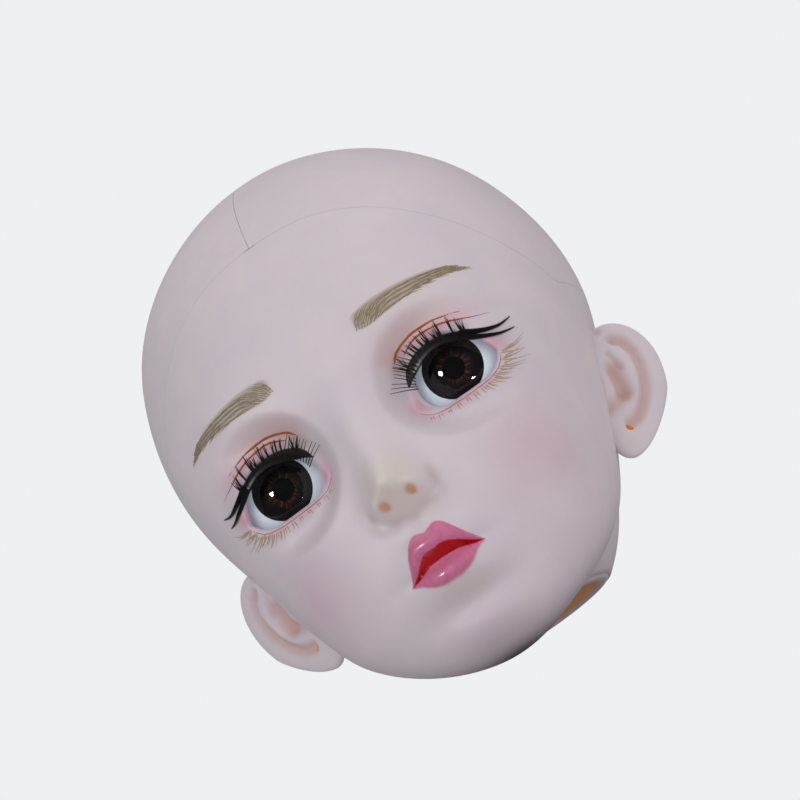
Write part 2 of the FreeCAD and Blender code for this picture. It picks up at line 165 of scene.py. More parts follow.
# Painted and applied lines at the left eye, as (x, z) in millimetres
creaseUpper = (
    (8.9, 38.7), (9.9, 39.9), (11.6, 40.75), (13.4, 41.2), (15.3, 41.2), (17.4, 41.0), (19.8, 40.4),
    (22.3, 39.7),
)
creaseLower = (
    (10.6, 39.05), (12.9, 40.2), (14.6, 40.35), (16.8, 40.1), (18.7, 39.6), (20.5, 38.9), (22.3, 38.2),
    (24.5, 37.8),
)
browTop = (
    (7.6, 47.6), (10.5, 48.3), (13.8, 48.45), (17.8, 48.25), (21.8, 47.6), (24.4, 46.3), (26.3, 44.95),
)
browPaintBox = dict(
    bottom=43.0, height=7.0, inner=(7.2, 8.6), outer=(26.4, 25.2), front=(-20, -25), strength=0.85,
)
browBottom = (
    (7.4, 45.3), (9.9, 45.0), (13.3, 45.5), (17.8, 46.05), (21.8, 46.2), (24.5, 45.6), (26.3, 44.95),
)
bandTop = (
    (8.45, 34.7), (8.9, 36.0), (9.9, 37.2), (11.8, 38.15), (14.0, 38.5), (16.0, 38.4), (18.0, 37.9),
    (19.8, 37.1), (21.4, 36.3),
)
bandBottom = (
    (8.85, 34.6), (9.6, 35.2), (10.9, 35.7), (12.6, 36.4), (14.6, 36.9), (16.6, 36.8), (18.3, 36.2),
    (19.8, 35.5), (21.2, 35.1),
)
wings = (
    ((19.6, 36.9), (21.2, 36.0), (23.0, 35.35), (24.6, 35.35), (26.4, 36.1)),
    ((19.4, 36.3), (20.8, 35.3), (22.4, 34.5), (24.2, 34.05), (26.1, 34.35)),
)

ear = dict(
    lobe=(28.0, -6.4, 11.6), top=(34.6, 1.5, 33.2), lobeLean=2.2, halfDepth=6.6,
    halfThickness=2.2, frontThickness=1.9, shift=1.5, depthAim=(0.80, 0.60, -0.12),
    flareShare=0.22, holeRadius=0.7, holeRise=4.8, holeInset=-0.3, shadeBehind=-0.6,
    shadeDepth=1.3, shade=0.5,
)

# Hollows of the ear: path along and across the ear from its centre, spread and depth
earHollows = (
    (
        (
            (8.4, 0.6), (8.2, 2.0), (6.2, 3.5), (4, 4.1), (2, 4.2), (0, 4.0), (-2, 3.5), (-4, 2.6),
            (-5.6, 1.4), (-6.6, 0.0),
        ), 0.95, 1.15,
    ),
    (((5.8, -0.9), (4.7, -0.2), (3.4, 0.7)), 0.55, 0.55),
    (((3.0, -0.6), (1.2, -0.2), (-0.8, 0.4)), 1.25, 1.5),
    (((-1.8, 0.0), (-3.0, -1.6), (-3.9, -3.2)), 1.2, 0.95),
    (((0.6, -3.6), (-1.4, -4.0), (-3.0, -4.3)), 0.65, 0.55),
    (((10.6, -2.4), (10.2, -1.6)), 0.8, 0.7),
)


def blend(x, start, end):
    s = min(1.0, max(0.0, (x - start) / (end - start)))
    return s * s * (3 - 2 * s)


def bump(distance, spread):
    return math.exp(-((distance / spread) ** 2))


def curveValue(a, b, c, d, s):
    turn = 2 * a - 5 * b + 4 * c - d
    rise = -a + 3 * b - 3 * c + d
    return 0.5 * (2 * b + (c - a) * s + turn * s * s + rise * s ** 3)


def along(points, s):
    # Point on the smooth curve through a list of points, s from 0 to 1.
    last = len(points) - 1
    i = min(last - 1, int(s * last))
    near = [points[max(0, min(last, k))] for k in (i - 1, i, i + 1, i + 2)]
    return [curveValue(*values, s * last - i) for values in zip(*near)]


def heightAt(points, x):
    # Height of the smooth curve through (x, height) points that run along x
    i = 0
    while i < len(points) - 2 and x > points[i + 1][0]:
        i += 1
    a, b = points[i], points[i + 1]
    s = min(1.0, max(0.0, (x - a[0]) / (b[0] - a[0])))
    before = points[max(i - 1, 0)][1]
    after = points[min(i + 2, len(points) - 1)][1]
    return curveValue(before, a[1], b[1], after, s)


def levelAt(turn):
    last = len(levelShares) - 1
    i = 0
    while i < last - 1 and turn > levelShares[i + 1][0]:
        i += 1
    low, high = levelShares[i], levelShares[i + 1]
    before, after = levelShares[max(i - 1, 0)], levelShares[min(i + 2, last)]
    s = (turn - low[0]) / (high[0] - low[0])
    return [curveValue(before[k], low[k], high[k], after[k], s) for k in range(1, 7)]


def skullPoint(around, turn, sideWall=0, frontWall=0):
    # Point of the smooth skull in millimetres, drawn in by the walls' thickness
    width, front, back, centre, frontPower, backPower = levelAt(math.degrees(turn))
    top = skull["crownHeight"] - skull["widestHeight"]
    rise = top if turn > 0 else skull["widestHeight"] + skull["chinDrop"]
    z = skull["widestHeight"] + (rise - sideWall) * math.sin(turn)
    half = skull["halfWidth"] * width - sideWall
    reach = skull["backReach"] * back - sideWall
    power = backPower
    if math.cos(around) > 0:
        reach = skull["frontReach"] * front - frontWall
        power = frontPower
    side, ahead = math.sin(around), math.cos(around)
    r = (abs(side / half) ** power + abs(ahead / reach) ** power) ** (-1 / power)
    level = math.cos(turn)
    return Vector((r * side * level, skull["halfWidth"] * centre - r * ahead * level, z))


def offAxis(x, z):
    # Distance from the nearer eye's axis in the front view
    return math.hypot(abs(x) - eye["side"], z - eye["height"])


def ballFront(reach, off):
    # Front of a ball round the eye's centre at this distance from its axis
    return -eye["front"] - math.sqrt(max(reach ** 2 - off ** 2, 1.0))


def faceSwelling(x, z):
    unit = skull["halfWidth"]
    side, down = abs(x) / unit, (eye["height"] - z) / unit
    spread, swelling, start, full, end = bridgeShares
    noseBridge = blend(-down, -start, -full) * (1 - blend(-down, -full, -end))
    total = swelling * noseBridge * bump(side, spread)
    for place, level, sideSpread, levelSpread, height in featureShares:
        total += height * bump(side - place, sideSpread) * bump(down - level, levelSpread)
    return total * unit


def mouthShare(x, z):
    # Which edges of the mouth a place lies between: upper lip, parting or lower lip
    x = abs(x)
    upper, top, low, lower = (heightAt(mouth[edge], x) for edge in mouthEdges)
    if x >= mouth["halfWidth"] or z >= upper or z <= lower:
        return None, 0
    if z > top:
        return "lip", (z - top) / max(upper - top, 0.01)
    if z > low:
        return "part", (z - low) / max(top - low, 0.01)
    return "lip", (low - z) / max(low - lower, 0.01)


def fineRelief(x, z):
    # Nostrils, philtrum, lips and the fold of the upper lid, in millimetres outwards
    total = 0
    for side, height, sideSpread, heightSpread, depth in fineFeatures:
        total += depth * bump(abs(x) - side, sideSpread) * bump(z - height, heightSpread)
    ring = math.hypot(x / noseRing["side"], (z - noseRing["height"]) / noseRing["rise"])
    low = 1 - blend(z, *noseRing["fadeUp"])
    beside = blend(abs(x), *noseRing["fadeSide"])
    groove = bump(ring - noseRing["grooveAt"], noseRing["grooveSpread"])
    total -= noseRing["groove"] * low * beside * groove
    total += noseRing["swelling"] * low * (1 - blend(ring, noseRing["roundFrom"], 1.0))
    kind, share = mouthShare(x, z)
    if kind:
        fade = 1 - (abs(x) / mouth["halfWidth"]) ** 3
        arch = math.sin(math.pi * min(1, max(0, share)))
        if kind == "lip":
            total += mouth["lipSwelling"] * fade * arch ** 0.6
        else:
            total -= mouth["partDepth"] * fade * arch ** 0.5
    if creaseUpper[0][0] < abs(x) < creaseUpper[-1][0]:
        total -= lidCrease["depth"] * bump(z - heightAt(creaseUpper, abs(x)), lidCrease["spread"])
    return total


def headPoint(around, turn):
    p = skullPoint(around, turn)
    facing = math.cos(around)
    if facing > 0:
        amount = blend(facing, *faceBlendShares) * blend(math.cos(turn), *poleBlendShares)
        p.y -= amount * faceSwelling(p.x, p.z)
        off = offAxis(p.x, p.z)
        if off < eye["lidRadius"]:
            near = 1 - blend(off / eye["lidRadius"], *lidBlendShares)
            p.y += near * (ballFront(eye["lidRadius"], off) - p.y)
        p.y -= amount * fineRelief(p.x, p.z)
    return p


def turnOf(z):
    rise = skull["crownHeight"] - skull["widestHeight"]
    if z < skull["widestHeight"]:
        rise = skull["widestHeight"] + skull["chinDrop"]
    return math.asin(max(-1, min(1, (z - skull["widestHeight"]) / rise)))


def onSkin(x, z, lift=0.0):
    # Place on the face with these coordinates, lifted forwards, in millimetres
    turn = turnOf(z)
    low, high = 0, math.pi / 2
    for _ in range(30):
        middle = (low + high) / 2
        if skullPoint(middle, turn).x < abs(x):
            low = middle
        else:
            high = middle
    p = headPoint(low, turn)
    return Vector((math.copysign(p.x, x), p.y - lift, p.z))


def innerPoint(p):
    # Place on the inner wall behind a place on the skin
    turn = turnOf(p.z)
    centre = skull["halfWidth"] * levelAt(math.degrees(turn))[3]
    around = math.atan2(p.x, centre - p.y)
    q = skullPoint(around, turn, skull["sideWall"], skull["frontWall"])
    if math.cos(around) > 0:
        beside = bump(abs(q.x) - eye["side"] + eye["backingOffset"], eye["backingSpread"])
        q.y += eye["wellBacking"] * beside * bump(q.z - eye["height"], eye["backingSpread"])
    return q


def arcThrough(a, b, c):
    # Centre and radius of the circle through three points of the side view
    ax, ay, bx, by, cx, cy = *a, *b, *c
    d = 2 * (ax * (by - cy) + bx * (cy - ay) + cx * (ay - by))
    sa, sb, sc = ax * ax + ay * ay, bx * bx + by * by, cx * cx + cy * cy
    x = (sa * (by - cy) + sb * (cy - ay) + sc * (ay - by)) / d
    y = (sa * (cx - bx) + sb * (ax - cx) + sc * (bx - ax)) / d
    return x, y, math.hypot(ax - x, ay - y)


seamCentre = arcThrough(seam["top"], seam["bend"], seam["corner"])


def seamSide(p, shift):
    # Above zero for places in the cap, which starts at the seam moved by the shift
    y, z = p.y - shift, p.z - shift
    if z > seam["top"][1]:
        return y - seam["top"][0]
    if y > seam["corner"][0]:
        return z - seam["corner"][1]
    return seamCentre[2] - math.hypot(y - seamCentre[0], z - seamCentre[1])


def toSeam(p, shift):
    # The nearest place on the seam's surface
    y, z = p.y - shift, p.z - shift
    if y > seam["corner"][0]:
        z = seam["corner"][1]
    else:
        far = seamCentre[2] / math.hypot(y - seamCentre[0], z - seamCentre[1])
        y = seamCentre[0] + (y - seamCentre[0]) * far
        z = seamCentre[1] + (z - seamCentre[1]) * far
    return Vector((p.x, y + shift, z + shift))


def lidPlace(shares, s):
    # Place on the eye opening's outline, from the eye's centre, with x towards the ear
    across, up = along(shares, s)
    half = eye["outer"] if across > 0 else eye["inner"]
    height = eye["top"] if up > 0 else eye["bottom"]
    return across * half, up * height


lidOutline = [lidPlace(lid, i / 48) for lid in (upperLidShares, lowerLidShares) for i in range(48)]


def stretchDistance(ax, ay, bx, by, x, y):
    # Distance of a place from the straight stretch between two others
    length = max((bx - ax) ** 2 + (by - ay) ** 2, 1e-9)
    share = min(1, max(0, ((x - ax) * (bx - ax) + (y - ay) * (by - ay)) / length))
    return math.hypot(x - ax - share * (bx - ax), y - ay - share * (by - ay))


def lidSide(p):
    # Above zero inside the eye openings: the distance to their edge
    x, z = abs(p.x) - eye["side"], p.z - eye["height"]
    if p.y > -eye["front"] or math.hypot(x, z) > eye["lidRadius"]:
        return -1.0
    nearest, inside = 1e9, False
    for (ax, az), (bx, bz) in zip(lidOutline, lidOutline[1:] + lidOutline[:1]):
        if (az > z) != (bz > z) and x < ax + (z - az) * (bx - ax) / (bz - az):
            inside = not inside
        nearest = min(nearest, stretchDistance(ax, az, bx, bz, x, z))
    return nearest if inside else -nearest


def cutAway(bm, side):
    # Cuts the mesh along side(place) = 0 and deletes the part where it is above zero
    value = {v: side(v.co) for v in bm.verts}
    for edge in bm.edges:
        a, b = edge.verts
        if value[a] * value[b] < 0:
            share = value[a] / (value[a] - value[b])
            if share < 0.2:
                a.co, value[a] = a.co.lerp(b.co, share), 0.0
            elif share > 0.8:
                b.co, value[b] = a.co.lerp(b.co, share), 0.0
    for edge in bm.edges[:]:
        a, b = edge.verts
        if value[a] * value[b] < 0:
            share = value[a] / (value[a] - value[b])
            made = bmesh.utils.edge_split(edge, a, share)[1]
            value[made] = 0.0
    for face in bm.faces[:]:
        onCut = [v for v in face.verts if value[v] == 0]
        values = [value[v] for v in face.verts]
        if len(onCut) == 2 and min(values) < 0 < max(values):
            bmesh.utils.face_split(face, *onCut)
    gone = [f for f in bm.faces if max((value[v] for v in f.verts), key=abs) > 0]
    bmesh.ops.delete(bm, geom=gone, context="FACES")


def wrappedSphere(columns, rows, place, density, middle, squeeze):
    # Sphere whose rings and columns crowd towards the face, laid on place(around, turn).
    bm = bmesh.new()
    bmesh.ops.create_uvsphere(bm, u_segments=columns, v_segments=rows, radius=1.0)
    for v in bm.verts:
        around = math.atan2(v.co.x, -v.co.y)
        turn = math.asin(max(-1.0, min(1.0, v.co.z)))
        around -= density * math.sin(around)
        turn -= squeeze / 2 * (math.sin(2 * (turn - middle)) - math.sin(2 * middle))
        v.co = place(around, turn)
    return bm


poleGap = 0.01  # how near a spun profile comes to its axis
lidRound = 0.35
sharpTurn = math.radians(50)
detail = 1.0


def eyeCentre(side):
    return Vector((side * eye["side"], -eye["front"], eye["height"]))


def attached(piece, body, nodes):
    bpy.context.collection.objects.link(piece)
    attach(piece, body)
    if nodes:
        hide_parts(*nodes)
    return piece


def shown(bm, name, body, material, nodes=(), marks=None):
    for v in bm.verts:
        v.co *= mm
    mesh = bpy.data.meshes.new(name)
    bmesh.ops.recalc_face_normals(bm, faces=bm.faces)
    bm.to_mesh(mesh)
    bm.free()
    mesh.shade_smooth()
    mesh.set_sharp_from_angle(angle=sharpTurn)
    mesh.materials.append(material)
    for mark, rule in (marks or {}).items():
        values = [rule(v.co / mm) for v in mesh.vertices]
        mesh.attributes.new(mark, "FLOAT", "POINT").data.foreach_set("value", values)
    attached(bpy.data.objects.new(name, mesh), body, nodes)


def mirrored(bm):
    for v in bm.verts:
        v.co.x = -v.co.x
    return bm


def spun(profile, centre=(0, 0, 0), axis=(0, 0, 1), steps=96):
    # Turns a profile of (radius, height) places about an axis through the centre
    bm = bmesh.new()
    verts = [bm.verts.new((r, 0, h)) for r, h in profile]
    edges = [bm.edges.new(pair) for pair in zip(verts, verts[1:])]
    bmesh.ops.spin(
        bm, geom=verts + edges, cent=(0, 0, 0), axis=(0, 0, 1), angle=2 * math.pi,
        steps=steps, use_merge=True,
    )
    tilt = Vector((0, 0, 1)).rotation_difference(Vector(axis)).to_matrix()
    for v in bm.verts:
        v.co = tilt @ v.co + Vector(centre)
    return bm


def rimAlong(bm, edges, rings):
    # Grows rings of faces from an open edge; each ring is a rule from the first place
    home = {v: v.co.copy() for e in edges for v in e.verts}
    for rule in rings:
        grown = bmesh.ops.extrude_edge_only(bm, edges=edges)["geom"]
        newEdges = [g for g in grown if isinstance(g, bmesh.types.BMEdge)]
        newVerts = [g for g in grown if isinstance(g, bmesh.types.BMVert)]
        nextHome = {}
        for v in newVerts:
            near = [e.other_vert(v) for e in v.link_edges if e.other_vert(v) in home]
            nextHome[v] = home[near[0]]
        for v, place in nextHome.items():
            v.co = rule(place)
        edges = [e for e in newEdges if e.verts[0] in nextHome and e.verts[1] in nextHome]
        home = nextHome


def openEdges(bm, test):
    return [e for e in bm.edges if len(e.link_faces) == 1 and all(test(v.co) for v in e.verts)]


def neckSide(radius):
    return lambda p: radius - math.hypot(p.x, p.y) if p.z < neck["openBelow"] else -1.0


def wellSide(p):
    # Above zero where the wells behind the eyes open the inner wall
    if p.y > eye["wellFront"]:
        return -1.0
    return eye["socketRadius"] + eye["wellMargin"] - offAxis(p.x, p.z)


def besideEye(p):
    return p.y < eye["openingFront"] and offAxis(p.x, p.z) < eye["openingReach"]


def lidRings():
    # The lid's edge rounds inwards and then runs on behind, over the ball of the eye
    def frameAt(p):
        centre = eyeCentre(math.copysign(1, p.x))
        ray = (p - centre).normalized()
        away = Vector((p.x - centre.x, 0, p.z - centre.z)).normalized()
        return centre, ray, (away - ray * away.dot(ray)).normalized()

    def roundRing(turn):
        def place(p):
            centre, ray, away = frameAt(p)
            half = ((p - centre).length - eye["socketRadius"]) / 2
            out = eye["socketRadius"] + half * (1 + math.cos(turn))
            return centre + ray * out - away * (lidRound * math.sin(turn))
        return place

    def backRing(spread):
        def place(p):
            centre, ray, away = frameAt(p)
            turn = spread / eye["socketRadius"]
            return centre + (ray * math.cos(turn) + away * math.sin(turn)) * eye["socketRadius"]
        return place

    rings = [roundRing(math.pi * i / 8) for i in range(1, 9)]
    return rings + [backRing(spread) for spread in (1.0, 2.4)]


def seamRings(shift):
    # The thick edge at the seam, from the skin to the inner wall
    def ring(share):
        return lambda p: toSeam(p.lerp(innerPoint(p), share), shift)
    return [ring(share) for share in seam["ringShares"]]


def underSkin(p):
    # How far a place lies inside the outer skin, measured level towards the middle
    turn = turnOf(p.z)
    middle = skull["halfWidth"] * levelAt(math.degrees(turn))[3]
    q = headPoint(math.atan2(p.x, middle - p.y), turn)
    return math.hypot(q.x, q.y - middle) - math.hypot(p.x, p.y - middle)


def magnetPlaces():
    low = skull["widestHeight"] + skull["chinDrop"] - skull["sideWall"]
    turn = math.asin((seam["corner"][1] - skull["widestHeight"]) / low)
    middle = Vector((0, skull["halfWidth"] * levelAt(math.degrees(turn))[3], seam["corner"][1]))
    places = []
    for around in magnet["turns"]:
        p = skullPoint(math.radians(around), turn, skull["sideWall"], skull["frontWall"])
        p.z = seam["corner"][1]
        inward = (middle - p).normalized()
        places.append(p + inward * (magnet["bossRadius"] - skull["sideWall"] / 2))
    return places


def addBosses(bm, below):
    # A boss of resin round each magnet, just short of the seam's face
    r, far = magnet["bossRadius"], magnet["bossHeight"]
    face, pit = seam["gap"] / 2 + 0.04, magnet["height"] + 0.1
    profile = [(poleGap, pit), (magnet["radius"] + 0.02, pit), (magnet["radius"] + 0.02, face)]
    profile += [(r - 0.2, face), (r, face + 0.2), (r, far), (poleGap, far)]
    for place in magnetPlaces():
        if below or place.x > 0:
            joinInto(bm, spun(profile, place, (0, 0, -1 if below else 1), 48))


def joinInto(bm, other):
    mesh = bpy.data.meshes.new("joined")
    other.to_mesh(mesh)
    other.free()
    bm.from_mesh(mesh)
    bpy.data.meshes.remove(mesh)


def wallSphere(columns, rows, *crowding):
    # The inner wall, with its faces turned inwards once it is cut
    return wrappedSphere(columns, rows, lambda a, t: innerPoint(headPoint(a, t)), *crowding)


def makeFaceShell():
    settings = dict(columns=300, rows=230, innerColumns=96, innerRows=80, underSkin=1.2)
    half = seam["gap"] / 2
    columns, rows = int(settings["columns"] * detail), int(settings["rows"] * detail)
    bm = wrappedSphere(columns, rows, headPoint, 0.45, -0.4, 0.4)
    cutAway(bm, lambda p: seamSide(p, -half))
    cutAway(bm, lambda p: lidSide(p) + lidRound)
    cutAway(bm, neckSide(neck["rimRadius"] - 1))
    rimAlong(bm, openEdges(bm, besideEye), lidRings())
    rimAlong(bm, openEdges(bm, lambda p: p.z > 36 and not besideEye(p)), seamRings(-half))
    inner = wallSphere(settings["innerColumns"], settings["innerRows"], 0.3, -0.2, 0.2)
    cutAway(inner, lambda p: seamSide(p, -half))
    cutAway(inner, wellSide)
    cutAway(inner, neckSide(neck["pocketRadius"]))
    bmesh.ops.reverse_faces(inner, faces=inner.faces)
    joinInto(bm, inner)
    joinInto(bm, spun(collarProfile()))
    for side in (1, -1):
        well = spun(wellProfile(), eyeCentre(side), (0, -1, 0), 64)
        cutAway(well, lambda p: settings["underSkin"] - underSkin(p))
        joinInto(bm, well)
    addBosses(bm, True)
    return bm


def collarProfile():
    # The neck's pocket, its rounded rim and the flare that runs up into the jaw
    bore, rim = neck["boreRadius"], neck["rimRadius"]
    points = [(neck["pocketRadius"], 16.0), (neck["pocketRadius"], neck["ledge"])]
    points += [(bore, neck["ledge"]), (bore, 0.5)]
    for i in range(7):
        turn = math.pi * i / 6
        points.append(((bore + rim) / 2 - (rim - bore) / 2 * math.cos(turn), 0.5 - 0.5 * math.sin(turn)))
    a = (rim, 0.0)
    b = ((rim + neck["flareRadius"]) / 2 + neck["ledge"] / 2, neck["flareHeight"] / 2)
    c = (neck["flareRadius"], neck["flareHeight"])
    x, y, r = arcThrough(a, b, c)
    first, mid, last = (math.atan2(p[1] - y, p[0] - x) for p in (a, b, c))
    if not min(first, last) < mid < max(first, last):
        last += 2 * math.pi if last < first else -2 * math.pi
    for i in range(1, 25):
        turn = first + (last - first) * i / 24
        points.append((x + r * math.cos(turn), y + r * math.sin(turn)))
    points.append((neck["flareRadius"] - 4, neck["flareHeight"]))
    return points


def wellProfile():
    outer = eye["socketRadius"] + eye["wellWall"]
    inner = eye["socketRadius"] + 0.05
    back = -eye["wellBack"]
    points = []
    for i in range(13):
        turn = math.radians(48 + 57 * i / 12)
        points.append((inner * math.sin(turn), max(back, inner * math.cos(turn))))
    for i in range(9):
        turn = math.radians(101 - 41 * i / 8)
        points.append((outer * math.sin(turn), max(back, outer * math.cos(turn))))
    return points


def makeCap(side):
    settings = dict(columns=200, rows=160, innerColumns=72, innerRows=60)
    columns, rows = int(settings["columns"] * detail), int(settings["rows"] * detail)
    bm = wrappedSphere(columns, rows, headPoint, 0.2, 0.3, 0.2)
    inner = wallSphere(settings["innerColumns"], settings["innerRows"], 0.1, 0.2, 0.1)
    for wall in (bm, inner):
        cutAway(wall, lambda p: -seamSide(p, seam["gap"] / 2))
        cutAway(wall, lambda p: seam["midGap"] / 2 - p.x)
    rimAlong(bm, openEdges(bm, lambda p: p.x > seam["midGap"]), seamRings(seam["gap"] / 2))
    bmesh.ops.reverse_faces(inner, faces=inner.faces)
    joinInto(bm, inner)
    addBosses(bm, False)
    return bm if side > 0 else mirrored(bm)


def earAxes():
    lobe, top = Vector(ear["lobe"]), Vector(ear["top"])
    length = (top - lobe).length
    upward = (top - lobe).normalized()
    depth = Vector(ear["depthAim"])
    depth = (depth - upward * depth.dot(upward)).normalized()
    return (lobe + top) / 2, length / 2, upward, depth, depth.cross(upward)


def earHole():
    centre, half, upward, depth = earAxes()[:4]
    return centre + upward * (ear["holeRise"] - half) + depth * ear["holeInset"]


def pathDistance(points, p, q):
    return min(stretchDistance(*a, *b, p, q) for a, b in zip(points, points[1:]))


def earHollow(p, q):
    return sum(depth * bump(pathDistance(path, p, q), spread) for path, spread, depth in earHollows)


def makeEar(side):
    settings = dict(columns=150, rows=120, underSkin=1.4)
    centre, half, upward, depth, front = earAxes()
    bm = bmesh.new()
    columns, rows = int(settings["columns"] * detail), int(settings["rows"] * detail)
    bmesh.ops.create_uvsphere(bm, u_segments=columns, v_segments=rows, radius=1.0)
    for v in bm.verts:
        up, out = v.co.y, v.co.x
        level = math.hypot(up, out)
        turnUp = up / level if level > 0 else 0
        deep = ear["halfDepth"] * (1 + ear["flareShare"] * turnUp)
        p = half * up
        q = deep * out + ear["shift"] + ear["lobeLean"] * min(up, 0)
        if v.co.z > 0:
            thick = ear["frontThickness"] * v.co.z ** 0.6 - earHollow(p, q) * blend(v.co.z, 0.0, 0.45)
        else:
            thick = ear["halfThickness"] * v.co.z
        v.co = centre + upward * p + depth * q + front * thick

    cutAway(bm, lambda p: underSkin(p) - settings["underSkin"])
    hole = earHole()
    cutAway(bm, lambda p: ear["holeRadius"] - (p - hole).cross(front).length)
    rings = [lambda p, k=k: p - front * (p - hole).dot(front) * k for k in (0.5, 1.0)]
    rimAlong(bm, openEdges(bm, lambda p: (p - hole).cross(front).length < 1), rings)
    return bm if side > 0 else mirrored(bm)


def makeIris(side):
    # The disc on the flat of its pocket, with the edge rounded like a printed disc
    r, edge = eye["irisRadius"], 0.05
    back, front = eye["recessDepth"], eye["recessDepth"] + eye["irisThickness"]
    profile = [(poleGap, back), (r - edge, back), (r, back + edge), (r, front - edge), (r - edge, front)]
    profile += [(r * k / 12, front) for k in range(11, 0, -1)] + [(poleGap, front)]
    return spun(profile, eyeCentre(side), (0, -1, 0), 128)


def makePupil(side):
    r, back = eye["pupilRadius"], eye["recessDepth"] + eye["irisThickness"]
    top, edge = back + eye["pupilThickness"], 0.1
    profile = [(poleGap, back), (r, back), (r, top - edge), (r - edge, top), (poleGap, top)]
    return spun(profile, eyeCentre(side), (0, -1, 0), 64)


def makeCornea(side):
    # Clear dome in the eye's front: it stands a little proud of the ball
    edge = eye["recessRadius"]
    seat = math.sqrt(eye["radius"] ** 2 - edge ** 2)
    crown = eye["radius"] + eye["corneaBulge"]
    rise = crown - seat
    curve = (edge ** 2 + rise ** 2) / (2 * rise)
    profile = [(edge - 0.02, seat - 0.15)]
    for i in range(25):
        turn = math.asin(edge / curve) * (1 - i / 24)
        profile.append((max(poleGap, curve * math.sin(turn)), crown - curve + curve * math.cos(turn)))
    return spun(profile, eyeCentre(side), (0, -1, 0), 96)


def strandCurve(name, strands, body, material, nodes=()):
    # Each strand is a list of (place, radius) in millimetres
    curve = bpy.data.curves.new(name, "CURVE")
    curve.dimensions = "3D"
    curve.bevel_depth = mm
    curve.bevel_resolution = 2
    for strand in strands:
        line = curve.splines.new("NURBS")
        line.points.add(len(strand) - 1)
        for point, (place, radius) in zip(line.points, strand):
            point.co = (*(place * mm), 1)
            point.radius = radius
        line.order_u = min(4, len(strand))
        line.use_endpoint_u = True
        line.resolution_u = 3
    curve.use_fill_caps = True
    curve.materials.append(material)
    return attached(bpy.data.objects.new(name, curve), body, nodes)


def paintedLine(side, points, radius, steps=24, ends=(0.15, 0.15), lift=0.0):
    # A thin stroke of paint that lies on the skin and thins out at its ends
    strand = []
    for i in range(steps + 1):
        s = i / steps
        x, z = along(points, s)
        thin = min(1, 0.12 + s / max(ends[0], 0.01)) * min(1, 0.12 + (1 - s) / max(ends[1], 0.01))
        strand.append((onSkin(side * x, z, lift), radius * min(1, thin)))
    return strand


def browStrokes(side, rng):
    # Even parallel strokes that fan from upright at the inner end to level at the tail
    settings = dict(columns=44, rows=4, radius=0.075, length=2.4)
    strands = []
    for i in range(settings["columns"] * settings["rows"]):
        s = (i + 0.6 * rng.random()) / (settings["columns"] * settings["rows"])
        x = browTop[0][0] + s * (browTop[-1][0] - browTop[0][0] - 0.8)
        low, high = heightAt(browBottom, x), heightAt(browTop, x)
        row = (i % settings["rows"] + 0.4 * rng.random()) / settings["rows"]
        start = low + (high - low) * 0.95 * row * (0.75 + 0.25 * blend(s, 0.1, 0.5))
        turn = math.radians(74 - 62 * blend(s, -0.15, 0.55)) - 0.12 * s
        size = settings["length"] * (0.8 + 0.5 * s) * (0.85 + 0.3 * rng.random())
        strand = []
        for k in range(6):
            t = k / 5
            bend = turn - 0.3 * t
            px, pz = x + size * t * math.cos(bend), start + size * t * math.sin(bend)
            if px < browTop[-1][0] and pz < heightAt(browTop, px) + 0.35:
                strand.append((onSkin(side * px, pz), settings["radius"] * (1 - 0.7 * t)))
        if len(strand) > 2:
            strands.append(strand)
    return strands


def lowerLashStrokes(side, rng):
    # A fan of soft strokes under the lower lid in small tufts, longest at the outer corner
    settings = dict(tufts=12, first=0.02, last=0.74, radius=0.12)
    strands = []
    for i in range(settings["tufts"]):
        share = settings["first"] + (settings["last"] - settings["first"]) * i / (settings["tufts"] - 1)
        across, down = along(lowerLidShares, share)
        half = eye["outer"] if across > 0 else eye["inner"]
        outward = max(0.0, min(1.0, across))
        for copy in range(4 if outward > 0.3 else 2):
            x = eye["side"] + across * half + 0.28 * (copy - 1.5)
            z = eye["height"] + down * eye["bottom"]
            turn = math.radians(-100 + 92 * outward ** 1.4 + 9 * (copy - 1.5) + 8 * (rng.random() - 0.5))
            length = (0.9 + 2.9 * outward ** 1.5) * (0.55 + 0.55 * rng.random())
            x, z = x + 0.55 * math.cos(turn), z + 0.55 * math.sin(turn)
            points = []
            for t in (0, 0.5, 1):
                bend = turn + 0.3 * t
                points.append((x + length * t * math.cos(bend), z + length * t * math.sin(bend)))
            strands.append(paintedLine(side, points, settings["radius"], 8, (0.05, 1.0)))
    return strands


def lidLine(side):
    # Thin painted line just under the lower lid's edge
    points = []
    for i in range(9):
        across, down = lidPlace(lowerLidShares, 0.04 + 0.9 * i / 8)
        points.append((eye["side"] + across * 1.04, eye["height"] + down * 1.06))
    return [paintedLine(side, points, 0.08, 40, (0.1, 0.1))]


def bandPlace(side, x, z, lift):
    # The strip stands on the lid's edge, in front of the eye
    off = offAxis(x, z)
    ball = ballFront(eye["lidRadius"] + lift, off)
    skin = onSkin(side * x, z, lift)
    far = blend(off / eye["lidRadius"], 0.55, 0.85)
    return Vector((side * x, ball + (skin.y - ball) * far, z))


